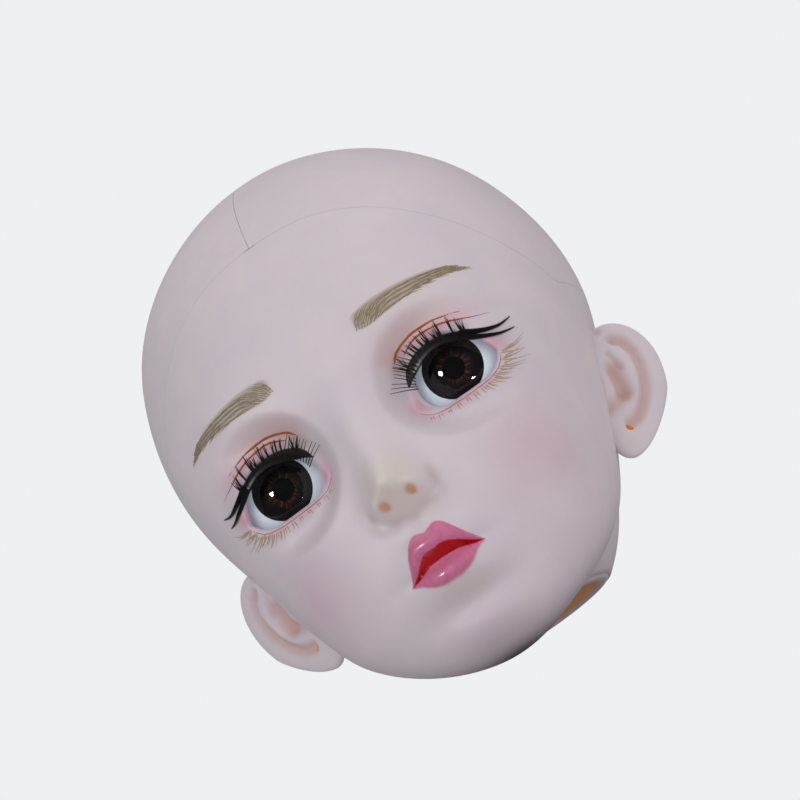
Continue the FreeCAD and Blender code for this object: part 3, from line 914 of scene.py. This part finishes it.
def makeLashBand(side):
    # A dark strip along the upper lid that splits into two wings at the outer corner
    settings = dict(steps=60, sink=0.25)
    section = (
        (0, -settings["sink"]), (0, 0.12), (0.12, 0.24), (0.5, 0.3), (0.88, 0.24), (1, 0.12),
        (1, -settings["sink"]),
    )
    bm = bmesh.new()
    rings = []
    for i in range(settings["steps"] + 1):
        s = i / settings["steps"]
        top, low = along(bandTop, s), along(bandBottom, s)
        ring = []
        for share, lift in section:
            x = low[0] + (top[0] - low[0]) * share
            z = low[1] + (top[1] - low[1]) * share
            ring.append(bm.verts.new(bandPlace(side, x, z, lift)))
        rings.append(ring)
    for a, b in zip(rings, rings[1:]):
        for k in range(len(a)):
            n = (k + 1) % len(a)
            bm.faces.new((a[k], a[n], b[n], b[k]))
    for end in (rings[0], rings[-1]):
        bm.faces.new(end)
    return bm


def wingStrands(side):
    strands = []
    for points in wings:
        strand = []
        for i in range(13):
            s = i / 12
            x, z = along(points, s)
            strand.append((bandPlace(side, x, z, 0.1), 0.5 * (1 - s) ** 0.8 + 0.06))
        strands.append(strand)
    return strands


def hair(start, tip, bow, radius, taper):
    strand = []
    for i in range(6):
        t = i / 5
        p = start.lerp(tip, t)
        p.y -= bow * math.sin(math.pi * t)
        strand.append((p, radius * (1 - taper * t)))
    return strand


def innerHairs(side, rng):
    # Long hairs that cross the strip's thin inner end, from the lid's edge outwards
    settings = dict(count=9, bow=0.55, radius=0.09, taper=0.55)
    strands = []
    for i in range(settings["count"]):
        s = i / (settings["count"] - 1)
        rootX, rootZ = 9.9 + 2.4 * s * s, 33.7 + 2.9 * s
        tipX, tipZ = 6.5 + 3.4 * s, 35.0 + 4.5 * s ** 0.9
        wander = (rng.random() - 0.5) * 0.5
        start = bandPlace(side, rootX, rootZ, 0.1)
        tip = onSkin(side * (tipX + wander), tipZ + wander * 0.5, 0.9)
        strands.append(hair(start, tip, settings["bow"], settings["radius"], settings["taper"]))
    return strands


# Where a cluster of hairs is knotted to the strip and where it ends, in the front view
hairRoots = (
    (10.09, 37.0, 8.73, 38.37),
    (10.44, 37.6, 9.88, 39.1), (12.04, 38.1, 11.17, 39.76), (12.77, 38.3, 12.11, 40.06),
    (13.24, 38.4, 12.66, 40.22), (14.1, 38.5, 13.66, 40.56), (14.82, 38.5, 14.51, 40.0),
    (15.14, 38.5, 14.84, 41.02), (16.38, 38.3, 16.25, 39.51), (16.97, 38.2, 16.99, 40.2),
    (17.2, 38.1, 17.39, 40.98), (18.85, 37.5, 19.2, 40.24), (19.99, 37.1, 20.15, 39.22),
    (20.35, 36.7, 20.63, 38.59),
)


def lashHairs(side, rng):
    # Clusters of fine upright hairs knotted to the strip
    settings = dict(copies=4, bow=0.35, radius=0.095, taper=0.6, tailShare=0.7)
    strands = innerHairs(side, rng)
    for ax, az, bx, bz in hairRoots:
        for copy in range(settings["copies"]):
            drift = (rng.random() - 0.5) * 0.5 * (copy > 0)
            shorter = 1 - 0.45 * rng.random() * (copy > 0)
            start = bandPlace(side, ax + drift * 0.4, az - 0.5 * rng.random(), 0.25)
            tipX = ax + (bx - ax) * shorter + drift * 1.5
            tipZ = az + (bz - az) * shorter
            tip = onSkin(side * tipX, tipZ, 1.0 + 0.5 * rng.random())
            strands.append(hair(start, tip, settings["bow"], settings["radius"], settings["taper"]))
        # The knot's tail crosses the strip down to the lid's edge
        if rng.random() < settings["tailShare"]:
            foot = bandPlace(side, ax + 0.5 * (rng.random() - 0.3), az - 1.3 - 0.5 * rng.random(), 0.2)
            head = bandPlace(side, ax, az - 0.1, 0.36)
            middle = head.lerp(foot, 0.5) + Vector((0, -0.1, 0))
            strands.append([(head, 0.08), (middle, 0.07), (foot, 0.05)])
    return strands


def newMaterial(name):
    material = bpy.data.materials.new(name)
    material.use_nodes = True
    tree = material.node_tree
    tree.nodes.clear()
    output = tree.nodes.new("ShaderNodeOutputMaterial")
    shader = tree.nodes.new("ShaderNodeBsdfPrincipled")
    tree.links.new(shader.outputs[0], output.inputs[0])
    return material, tree, shader


def fill(tree, made, inputs):
    # Gives each input a constant or links it to another node's socket
    for key, value in inputs.items():
        if isinstance(value, bpy.types.NodeSocket):
            tree.links.new(value, made.inputs[key])
        else:
            made.inputs[key].default_value = value


def node(tree, kind, inputs=None, **settings):
    made = tree.nodes.new("ShaderNode" + kind)
    for key, value in settings.items():
        setattr(made, key, value)
    fill(tree, made, inputs or {})
    return made


def maths(tree, operation, *values, clamp=False):
    return node(tree, "Math", dict(enumerate(values)), operation=operation, use_clamp=clamp).outputs[0]


def plus(tree, a, b):
    return maths(tree, "ADD", a, b)


def minus(tree, a, b):
    return maths(tree, "SUBTRACT", a, b)


def times(tree, *values):
    total = values[0]
    for value in values[1:]:
        total = maths(tree, "MULTIPLY", total, value)
    return total


def smoothStep(tree, value, low, high, start=0.0, end=1.0):
    inputs = {"Value": value, "From Min": low, "From Max": high, "To Min": start, "To Max": end}
    return node(tree, "MapRange", inputs, interpolation_type="SMOOTHSTEP").outputs[0]


def linearStep(tree, value, low, high, start=0.0, end=1.0):
    inputs = {"Value": value, "From Min": low, "From Max": high, "To Min": start, "To Max": end}
    return node(tree, "MapRange", inputs, clamp=True).outputs[0]


def colour(red, green, blue):
    # From the 0 to 255 numbers of a screen colour
    def linear(c):
        c /= 255
        return c / 12.92 if c <= 0.04045 else ((c + 0.055) / 1.055) ** 2.4
    return (linear(red), linear(green), linear(blue), 1.0)


def mixed(tree, amount, base, top):
    return node(tree, "Mix", {0: amount, 6: base, 7: top}, data_type="RGBA").outputs[2]


def noise(tree, coords, scale, detailLevel=3.0, roughness=0.55):
    inputs = {"Vector": coords, "Scale": scale, "Detail": detailLevel, "Roughness": roughness}
    return node(tree, "TexNoise", inputs).outputs[0]


def objectCoords(tree):
    return node(tree, "TexCoord").outputs["Object"]


def attribute(tree, name):
    return node(tree, "Attribute", attribute_name=name).outputs["Fac"]


def roughened(tree, height, strength, distance):
    return node(tree, "Bump", {"Strength": strength, "Distance": distance, "Height": height}).outputs[0]


def passThrough(tree, shader, amount):
    # The surface lets light straight through by this amount
    clear = node(tree, "BsdfTransparent").outputs[0]
    made = node(tree, "MixShader", {0: amount, 1: shader.outputs[0], 2: clear})
    tree.links.new(made.outputs[0], tree.nodes["Material Output"].inputs[0])


def spotAt(tree, parts, centre, spreads):
    # Soft round spot on both sides of the face: bump of the scaled distance
    terms = []
    for value, middle, spread in zip(parts, centre, spreads):
        off = maths(tree, "DIVIDE", minus(tree, value, middle * mm), spread * mm)
        terms.append(times(tree, off, off))
    total = plus(tree, plus(tree, terms[0], terms[1]), terms[2])
    return maths(tree, "POWER", 2.718, times(tree, total, -1.0))


def edgeCurve(tree, ax, points, start, width, bottom, height):
    # Height of a painted edge at this distance from the middle of the face
    share = maths(tree, "DIVIDE", minus(tree, ax, start * mm), width * mm)
    made = node(tree, "FloatCurve", {"Value": share})
    curve = made.mapping.curves[0]
    for i, (x, z) in enumerate(points):
        place = ((x - start) / width, (z - bottom) / height)
        if i < 1:
            curve.points[0].location = place
        elif i == len(points) - 1:
            curve.points[-1].location = place
        else:
            curve.points.new(*place)
    made.mapping.update()
    return plus(tree, times(tree, made.outputs[0], height * mm), bottom * mm)


def fade(tree, value, start, end):
    return smoothStep(tree, value, start * mm, end * mm)


def above(tree, value, edge, soft):
    return smoothStep(tree, minus(tree, value, edge), -soft * mm, soft * mm)


def between(tree, value, low, high, softLow, softHigh):
    # 1 where a value lies between two edges, with soft borders in millimetres
    under = minus(tree, 1.0, above(tree, value, high, softHigh))
    return times(tree, above(tree, value, low, softLow), under)


def browMask(tree, x, y, z):
    start, end = browTop[0][0], browTop[-1][0]
    box = (start, end - start, browPaintBox["bottom"], browPaintBox["height"])
    high = edgeCurve(tree, x, browTop, *box)
    low = edgeCurve(tree, x, ((start, browBottom[0][1]),) + browBottom[1:], *box)
    inner = fade(tree, x, *browPaintBox["inner"])
    outer = fade(tree, x, *browPaintBox["outer"])
    front = fade(tree, y, *browPaintBox["front"])
    return times(tree, between(tree, z, low, high, 0.25, 0.3), inner, outer, front)


def mouthMasks(tree, coords, x, y, z):
    # Where the lips and the red parting between them are, with slightly uneven edges
    box = (0, mouth["halfWidth"], mouth["bottom"], mouth["height"])
    edges = {key: edgeCurve(tree, x, mouth[key], *box) for key in mouthEdges}
    uneven = minus(tree, noise(tree, coords, 700.0), 0.5)
    height = plus(tree, z, times(tree, uneven, 0.25 * mm))
    lips = between(tree, height, edges["lowerEdge"], edges["upperEdge"], 0.3, 0.22)
    corner = fade(tree, x, mouth["halfWidth"] + 0.2, mouth["halfWidth"] - 0.5)
    lips = times(tree, lips, corner, fade(tree, y, -33, -36))
    parting = between(tree, height, edges["partLow"], edges["partTop"], 0.12, 0.12)
    return lips, parting


def facePaint(tree, shader, bare, coords, blotch):
    # Blush, brows, nostrils and lips over the bare tone of the resin, with painted shade beside and
    # under the nose, in the philtrum and above the inner eye corners
    x, y, z = node(tree, "SeparateXYZ", {0: coords}).outputs
    x = maths(tree, "ABSOLUTE", x)
    base, outside = bare, attribute(tree, "outside")
    blotched = linearStep(tree, blotch, 0.2, 0.8, 0.85, 1.15)
    for centre, spreads, tone, strength in paintSpots:
        amount = times(tree, spotAt(tree, (x, y, z), centre, spreads), strength)
        amount = maths(tree, "MULTIPLY", amount, blotched, clamp=True)
        base = mixed(tree, amount, base, skinTones[tone])
    inBrow = times(tree, browMask(tree, x, y, z), browPaintBox["strength"])
    base = mixed(tree, inBrow, base, skinTones["brow"])
    pit = spotAt(tree, (x, y, z), nostril["centre"], nostril["spreads"])
    base = mixed(tree, smoothStep(tree, pit, 0.10, 0.75), base, skinTones["salmon"])
    inLips, inPart = mouthMasks(tree, coords, x, y, z)
    inLips = times(tree, inLips, outside)
    inPart = times(tree, inPart, smoothStep(tree, inLips, 0.0, 0.3))
    stretched = node(tree, "Mapping", {0: coords, 3: (1.0, 1.0, 0.12)}).outputs[0]
    creases = noise(tree, stretched, 1500.0, 2.0, 0.5)
    lipTone = mixed(tree, linearStep(tree, creases, 0.35, 0.7), skinTones["lip"], skinTones["lipDark"])
    base = mixed(tree, times(tree, inLips, 0.92), base, lipTone)
    base = mixed(tree, inPart, base, skinTones["mouthRed"])
    fill(tree, shader, {
        "Roughness": linearStep(tree, inLips, 0.0, 1.0, 0.54, 0.32),
        "Coat Weight": times(tree, inLips, minus(tree, 0.6, times(tree, inPart, 0.5))),
        "Coat Roughness": 0.14,
    })
    return mixed(tree, outside, bare, base)


def skinMaterial(painted):
    material, tree, shader = newMaterial("skin_painted" if painted else "skin_plain")
    coords = objectCoords(tree)
    blotch = noise(tree, coords, 90.0)
    fine = noise(tree, coords, 1400.0, 2.0)
    base = mixed(tree, linearStep(tree, blotch, 0.35, 0.65), skinTones["base"], skinTones["cooler"])
    base = mixed(tree, linearStep(tree, fine, 0.62, 0.75, 0.0, 0.12), base, skinTones["speck"])
    if painted:
        base = facePaint(tree, shader, base, coords, blotch)
    else:
        fill(tree, shader, {"Roughness": linearStep(tree, blotch, 0.3, 0.7, 0.52, 0.58)})
    # Painted shade in the hollows of the ear
    base = mixed(tree, attribute(tree, "recess"), base, skinTones["earShade"])
    # Painted glow inside the neck and the ear's hole: a warm tone and a faint emission stand in for
    # light that comes through the resin
    paintedGlow = attribute(tree, "inside")
    fill(tree, shader, {
        "Base Color": mixed(tree, paintedGlow, base, skinTones["inside"]),
        "Emission Strength": times(tree, paintedGlow, 0.07), "Emission Color": colour(236, 176, 128),
        "Subsurface Weight": 0.12, "Subsurface Scale": 0.0012,
        "Subsurface Radius": (1.0, 0.45, 0.35),
        "Normal": roughened(tree, fine, 0.10, 0.00006),
    })
    return material


# Tones of the skin and its paint; shade and earShade are painted shade, and inside is a painted glow
# that stands in for light through the resin
skinTones = dict(
    base=colour(226, 215, 218), cooler=colour(220, 209, 217), speck=colour(204, 188, 194),
    blush=colour(208, 164, 188), mauve=colour(204, 170, 192), lid=colour(220, 178, 172),
    ochre=colour(214, 178, 150), salmon=colour(222, 172, 142), cream=colour(228, 218, 200),
    pink=colour(218, 136, 164), lip=colour(220, 112, 156), lipDark=colour(208, 98, 144),
    mouthRed=colour(188, 6, 10), earShade=colour(206, 146, 116), brow=colour(180, 164, 142),
    shade=colour(176, 150, 146), inside=colour(246, 196, 146),
)

nostril = dict(centre=(2.3, -46, 20.2), spreads=(0.90, 5, 0.76))

# Soft paint on the face: place, spreads, tone and strength. The shade spots, and the ochre spots above
# the inner eye corner and in the philtrum, are painted shade; the others are blush, lid colour, brow
# underlay and tones of the resin
paintSpots = (
    ((19.5, -36, 16.5), (9, 12, 8), "blush", 0.42),
    ((0, -44, 0), (7, 10, 4), "blush", 0.25),
    ((15.6, -38, 41.5), (8, 6, 2.0), "lid", 0.55),
    # painted shade above the inner eye corner
    ((9.5, -37, 38.5), (2.2, 5, 2.6), "ochre", 0.35),
    ((21.5, -36, 38.5), (4.5, 7, 2.2), "mauve", 0.35),
    ((0, -48, 22.5), (4.2, 8, 4.5), "cream", 0.75),
    ((0, -45, 5.0), (5.0, 8, 2.2), "cream", 0.45),
    # painted shade in the crease beside the nose's wing and under the nose
    ((5.6, -42, 20.6), (0.8, 5, 2.0), "shade", 0.45),
    ((2.6, -45, 17.9), (2.4, 4, 0.7), "shade", 0.30),
    ((8.4, -36, 31.2), (1.7, 4, 2.0), "pink", 0.55),
    ((22.4, -35, 33.0), (2.3, 4, 1.7), "pink", 0.60),
    ((15.6, -37, 28.7), (6.5, 5, 0.8), "pink", 0.35),
    ((15.6, -38, 39.6), (7.0, 6, 1.1), "pink", 0.45),
    # painted shade in the philtrum's pit
    ((0, -47, 17.3), (1.2, 5, 0.7), "ochre", 0.45),
    ((16.5, -40, 46.5), (9, 8, 1.6), "ochre", 0.25),
)


def plainMaterial(name, tones, rough, scale, bumpHeight=0.00002, **sockets):
    # Two near tones in soft blotches, with varied roughness and a fine bump
    material, tree, shader = newMaterial(name)
    coords = objectCoords(tree)
    blotch = noise(tree, coords, scale)
    fill(tree, shader, {
        "Base Color": mixed(tree, linearStep(tree, blotch, 0.35, 0.65), *tones),
        "Roughness": linearStep(tree, blotch, 0.3, 0.7, *rough),
        "Normal": roughened(tree, noise(tree, coords, scale * 12), 0.2, bumpHeight),
    })
    fill(tree, shader, {key.replace("_", " "): value for key, value in sockets.items()})
    return material


def eyePlane(tree):
    # Distance from the eye's axis and turn round it, the same for both eyes
    parts = node(tree, "SeparateXYZ", {0: objectCoords(tree)}).outputs
    across = minus(tree, maths(tree, "ABSOLUTE", parts["X"]), eye["side"] * mm)
    up = minus(tree, parts["Z"], eye["height"] * mm)
    far = maths(tree, "SQRT", plus(tree, times(tree, across, across), times(tree, up, up)))
    return far, maths(tree, "ARCTAN2", up, across)


def eyeWhiteMaterial():
    material, tree, shader = newMaterial("eye_white_gloss")
    cloud = noise(tree, objectCoords(tree), 160.0)
    base = mixed(tree, linearStep(tree, cloud, 0.35, 0.65), colour(240, 245, 250), colour(231, 238, 246))
    # Painted shade: the white darkens towards the ball's edge, where the lids shade it
    edge = fade(tree, eyePlane(tree)[0], 5.0, 8.5)
    fill(tree, shader, {
        "Base Color": mixed(tree, times(tree, edge, 0.35), base, colour(196, 200, 212)),
        "Roughness": linearStep(tree, cloud, 0.3, 0.7, 0.10, 0.16),
        "Subsurface Weight": 0.3, "Subsurface Scale": 0.002,
        # Painted glow: a faint bluish emission stands in for light scattered in the acrylic
        "Emission Color": (0.75, 0.82, 1.0, 1), "Emission Strength": 0.10,
    })
    return material


def irisMaterial():
    # Brown flecks that run outwards from the pupil over a nearly black print
    material, tree, shader = newMaterial("iris_printed")
    far, turn = eyePlane(tree)
    ring = {0: maths(tree, "COSINE", turn), 1: maths(tree, "SINE", turn), 2: times(tree, far, 60.0)}
    place = node(tree, "CombineXYZ", ring).outputs[0]
    spokes = noise(tree, place, 11.0, 4.0, 0.65)
    uneven = minus(tree, noise(tree, place, 3.0, 2.0, 0.5), 0.5)
    reach = plus(tree, 2.7 * mm, times(tree, uneven, 3.4 * mm))
    faded = smoothStep(tree, far, times(tree, reach, 0.5), reach)
    lit = times(tree, smoothStep(tree, spokes, 0.47, 0.66), 0.95)
    amount = times(tree, plus(tree, lit, 0.05), minus(tree, 1.0, faded))
    base = mixed(tree, amount, colour(9, 6, 7), colour(104, 60, 44))
    fill(tree, shader, {
        "Base Color": mixed(tree, fade(tree, far, 3.4, 4.2), base, colour(5, 4, 5)),
        "Roughness": linearStep(tree, spokes, 0.3, 0.7, 0.5, 0.65),
        "Specular IOR Level": 0.1, "Normal": roughened(tree, spokes, 0.3, 0.0001),
    })
    return material


def corneaMaterial():
    material, tree, shader = newMaterial("cornea_clear")
    haze = linearStep(tree, noise(tree, objectCoords(tree), 300.0), 0.4, 0.6)
    fill(tree, shader, {
        "Base Color": mixed(tree, haze, (1, 1, 1, 1), (0.985, 0.99, 1.0, 1)),
        "Roughness": 0.0, "Transmission Weight": 1.0, "IOR": 1.45,
    })
    passThrough(tree, shader, node(tree, "LightPath").outputs["Is Shadow Ray"])
    return material


def floorMaterial():
    material, tree, shader = newMaterial("floor_paper")
    grain = linearStep(tree, noise(tree, objectCoords(tree), 600.0), 0.3, 0.7)
    base = mixed(tree, grain, colour(244, 244, 245), colour(238, 238, 240))
    fill(tree, shader, {"Base Color": base, "Roughness": 0.9})
    path = node(tree, "LightPath").outputs
    through = node(tree, "NewGeometry").outputs["Backfacing"]
    for ray in ("Is Shadow Ray", "Is Glossy Ray"):
        through = maths(tree, "MAXIMUM", through, path[ray])
    passThrough(tree, shader, through)
    return material


def makeFloor():
    settings = dict(halfSize=1.2, drop=0.0002)  # in metres
    bm = bmesh.new()
    bmesh.ops.create_grid(bm, x_segments=2, y_segments=2, size=settings["halfSize"])
    for v in bm.verts:
        v.co.z = -skull["chinDrop"] * mm - settings["drop"]
    mesh = bpy.data.meshes.new("floor")
    bm.to_mesh(mesh)
    bm.free()
    mesh.materials.append(floorMaterial())
    floor = bpy.data.objects.new("floor", mesh)
    bpy.context.collection.objects.link(floor)


# The camera looks up from below the chin and is rolled, as the head lies in the photograph
shot = dict(
    target=(0, -8, 36), azimuth=7.9, elevation=-11.65, roll=33.9, distance=520.0,
    lens=150.93, shiftX=0.00125, shiftY=0.0406,
)


def shotAxes():
    a, e = math.radians(shot["azimuth"]), math.radians(shot["elevation"])
    back = Vector((math.sin(a) * math.cos(e), -math.cos(a) * math.cos(e), math.sin(e)))
    right = Vector((math.cos(a), math.sin(a), 0))
    return right, back.cross(right), back


def makeCamera():
    right, up, back = shotAxes()
    roll = math.radians(shot["roll"])
    across = right * math.cos(roll) - up * math.sin(roll)
    upward = right * math.sin(roll) + up * math.cos(roll)
    data = bpy.data.cameras.new("camera")
    data.lens = shot["lens"]
    data.sensor_width = 36
    data.shift_x = shot["shiftX"]
    data.shift_y = shot["shiftY"]
    data.clip_start = 0.01
    camera = bpy.data.objects.new("camera", data)
    bpy.context.collection.objects.link(camera)
    turn = Matrix((across, upward, back)).transposed()
    place = (Vector(shot["target"]) + back * shot["distance"]) * mm
    camera.matrix_world = Matrix.Translation(place) @ turn.to_4x4()
    bpy.context.scene.camera = camera


# Lights: direction in the upright view (right, up, towards the camera), distance, size and
# power; the small ones only make spots of light, two on the eyes' domes and one on the lips
lights = (
    ("soft_key", (-0.35, 0.65, 0.80), 1.7, 1.3, 9.4, (0.97, 0.97, 1.0)),
    ("soft_fill", (0.85, 0.30, 0.50), 1.7, 1.5, 6.8, (1.0, 0.97, 0.95)),
    ("soft_top", (0.3, 0.9, -0.30), 1.5, 1.1, 5.4, (1.0, 0.98, 0.96)),
    ("soft_back", (-0.3, 0.45, -0.90), 1.7, 1.3, 5.0, (1.0, 0.99, 0.98)),
    ("dome_spot_left", (-0.659, 0.329, 0.675), 0.6, 0.12, 1.9, (1, 1, 1)),
    ("dome_spot_low", (0.310, -0.542, 0.782), 0.6, 0.125, 2.1, (1, 1, 1)),
    ("lip_spot", (-0.659, 0.329, 0.675), 0.6, 0.14, 1.4, (1, 1, 1)),
)
world = dict(tint=(0.93, 0.95, 1.0, 1), strength=0.29, mirroredShare=0.3, ground=(0.86, 0.87, 0.89, 1))


def gathered(name, start):
    # The pieces with such names, as the only ones that a light reaches
    pieces = bpy.data.collections.new(name)
    for piece in bpy.context.scene.objects:
        if piece.name.startswith(start) and piece.type == "MESH":
            pieces.objects.link(piece)
    return pieces


def makeLights():
    right, up, back = shotAxes()
    for name, aim, distance, size, power, tint in lights:
        toward = (right * aim[0] + up * aim[1] + back * aim[2]).normalized()
        data = bpy.data.lights.new(name, "AREA")
        data.shape = "DISK"
        data.size = size
        data.energy = power
        data.color = tint
        light = bpy.data.objects.new(name, data)
        bpy.context.collection.objects.link(light)
        place = Matrix.Translation(Vector(shot["target"]) * mm + toward * distance)
        light.matrix_world = place @ toward.to_track_quat("Z", "Y").to_matrix().to_4x4()
        light.visible_camera = False
        light.visible_glossy = "spot" in name
        light.visible_diffuse = not light.visible_glossy
        light.visible_transmission = False
        if light.visible_glossy:
            reached = "dome_" if name.startswith("dome") else ("face_skin", "strip_")
            light.light_linking.receiver_collection = gathered(name + "_reaches", reached)


def makeWorld():
    # The camera sees the pale ground, and mirrored and refracted rays see a dimmer world
    made = bpy.data.worlds.new("studio")
    bpy.context.scene.world = made
    made.use_nodes = True
    tree = made.node_tree
    tree.nodes.clear()
    path = node(tree, "LightPath").outputs
    mirrored = maths(tree, "MAXIMUM", path["Is Glossy Ray"], path["Is Transmission Ray"])
    dimmed = world["strength"] * world["mirroredShare"]
    strength = linearStep(tree, mirrored, 0.0, 1.0, world["strength"], dimmed)
    lit = node(tree, "Background", {0: world["tint"], 1: strength}).outputs[0]
    seen = node(tree, "Background", {0: world["ground"], 1: 1.0}).outputs[0]
    chosen = node(tree, "MixShader", {0: path["Is Camera Ray"], 1: lit, 2: seen}).outputs[0]
    node(tree, "OutputWorld", {0: chosen})


def holeGlowMark(p):
    # Painted glow: the wall of the pierced hole gets the warm inside tone and a faint emission, standing
    # in for light that comes through the resin
    off = Vector((abs(p.x), p.y, p.z)) - earHole()
    return 1.0 if off.cross(earAxes()[4]).length < ear["holeRadius"] + 0.02 else 0.0


def earShadeMark(p):
    # How much painted shade darkens the hollows of the ear
    centre, _, upward, depth, front = earAxes()
    q = Vector((abs(p.x), p.y, p.z)) - centre
    if q.dot(front) < ear["shadeBehind"]:
        return 0.0
    return min(1.0, earHollow(q.dot(upward), q.dot(depth)) / ear["shadeDepth"]) * ear["shade"]


def neckGlowMark(p):
    # Painted glow: the inside of the neck gets the warm inside tone and a faint emission, standing in
    # for light that comes through the resin
    r = math.hypot(p.x, p.y)
    inPocket = p.z > neck["ledge"] - 0.1 and r < neck["pocketRadius"] + 0.1
    return 1.0 if p.z < 25 and (inPocket or r < neck["boreRadius"] + 0.1) else 0.0


def outsideMark(p):
    # The face paint stays on the outer skin
    return 1.0 if underSkin(p) < 1.2 else 0.0


def repaint(nodeName, material):
    for place in frame["nodes"][nodeName].material_slots:
        place.material = material


skinPainted = skinMaterial(True)
skinPlain = skinMaterial(False)
print("materials of the skin are made")

faceMarks = {"inside": neckGlowMark, "outside": outsideMark}
earMarks = {"recess": earShadeMark, "inside": holeGlowMark}
shown(makeFaceShell(), "face_skin", "head", skinPainted, ["face_shell"], faceMarks)
print("face shell is made")
for side, word in ((1, "left"), (-1, "right")):
    shown(makeCap(side), "cap_" + word, "cap", skinPlain, ["cap_" + word + "_half"])
    shown(makeEar(side), "ear_" + word, "head", skinPlain, [], earMarks)
print("cap and ears are made")

irisPrinted = irisMaterial()
blacks = (colour(3, 3, 3), colour(7, 6, 7))
pupilBlack = plainMaterial("pupil_black", blacks, (0.6, 0.7), 900.0, Specular_IOR_Level=0.05)
corneaClear = corneaMaterial()
eyeWhite = eyeWhiteMaterial()
browTones = (colour(182, 165, 140), colour(162, 145, 120))
lashTones = (colour(216, 190, 150), colour(202, 170, 124))
lidTones = (colour(206, 146, 146), colour(196, 136, 128))
browPaint = plainMaterial("paint_brow", browTones, (0.5, 0.6), 900.0, Alpha=0.7)
lashPaint = plainMaterial("paint_ochre", lashTones, (0.5, 0.6), 900.0, Alpha=0.6)
lidPaint = plainMaterial("paint_lid", lidTones, (0.3, 0.4), 900.0, Alpha=0.7)
creaseTones = (colour(190, 102, 52), colour(168, 84, 44))
creasePaint = plainMaterial("paint_crease", creaseTones, (0.5, 0.6), 900.0)
stripTones = (colour(22, 17, 17), colour(12, 10, 10))
stripBlack = plainMaterial("strip_black", stripTones, (0.3, 0.45), 1200.0, 0.00003)
hairTones = (colour(20, 15, 15), colour(34, 26, 24))
hairBlack = plainMaterial("hair_black", hairTones, (0.35, 0.5), 2500.0)
for side, word in ((1, "left"), (-1, "right")):
    body = word + "_eye"
    shown(makeIris(side), "iris_" + word, body, irisPrinted, [word + "_iris_disc"])
    shown(makePupil(side), "pupil_" + word, body, pupilBlack, [word + "_pupil_dot"])
    shown(makeCornea(side), "dome_" + word, body, corneaClear, [word + "_cornea"])
    repaint(word + "_eye_white", eyeWhite)
    rng = random.Random(7)
    strandCurve("brow_" + word, browStrokes(side, rng), "head", browPaint)
    creases = [
        paintedLine(side, creaseUpper, 0.21, ends=(0.06, 0.45)),
        paintedLine(side, creaseLower, 0.17, ends=(0.10, 0.45)),
    ]
    strandCurve("creases_" + word, creases, "head", creasePaint)
    strandCurve("low_lashes_" + word, lowerLashStrokes(side, rng), "head", lashPaint)
    strandCurve("lid_line_" + word, lidLine(side), "head", lidPaint)
    shown(makeLashBand(side), "strip_" + word, "head", stripBlack, [word + "_lash_band"])
    strandCurve("wings_" + word, wingStrands(side), "head", stripBlack)
    strands = lashHairs(side, rng)
    hairs = strandCurve("hairs_" + word, strands, "head", hairBlack, [word + "_lash_hairs"])
    hairs.visible_glossy = False  # their reflections would break up the spots of light on the eye
print("eyes, brows and lashes are made")

puttyTones = (colour(226, 220, 214), colour(212, 205, 200))
resinTones = (colour(208, 170, 140), colour(196, 156, 126))
nickelTones = (colour(190, 190, 188), colour(176, 176, 176))
putty = plainMaterial("putty_grey", puttyTones, (0.6, 0.75), 300.0, 0.00008)
resin = plainMaterial("seat_resin", resinTones, (0.4, 0.5), 120.0, 0.00003)
nickel = plainMaterial("magnet_nickel", nickelTones, (0.2, 0.3), 400.0, Metallic=1.0)
for word in ("left", "right"):
    repaint(word + "_eye_putty", putty)
repaint("neck_seat", resin)
repaint("shell_magnets", nickel)
repaint("cap_magnets", nickel)

makeFloor()
makeCamera()
makeLights()
makeWorld()
bpy.context.scene.view_settings.view_transform = "Standard"
print("floor, camera and lights are made")

bpy.context.view_layer.update()
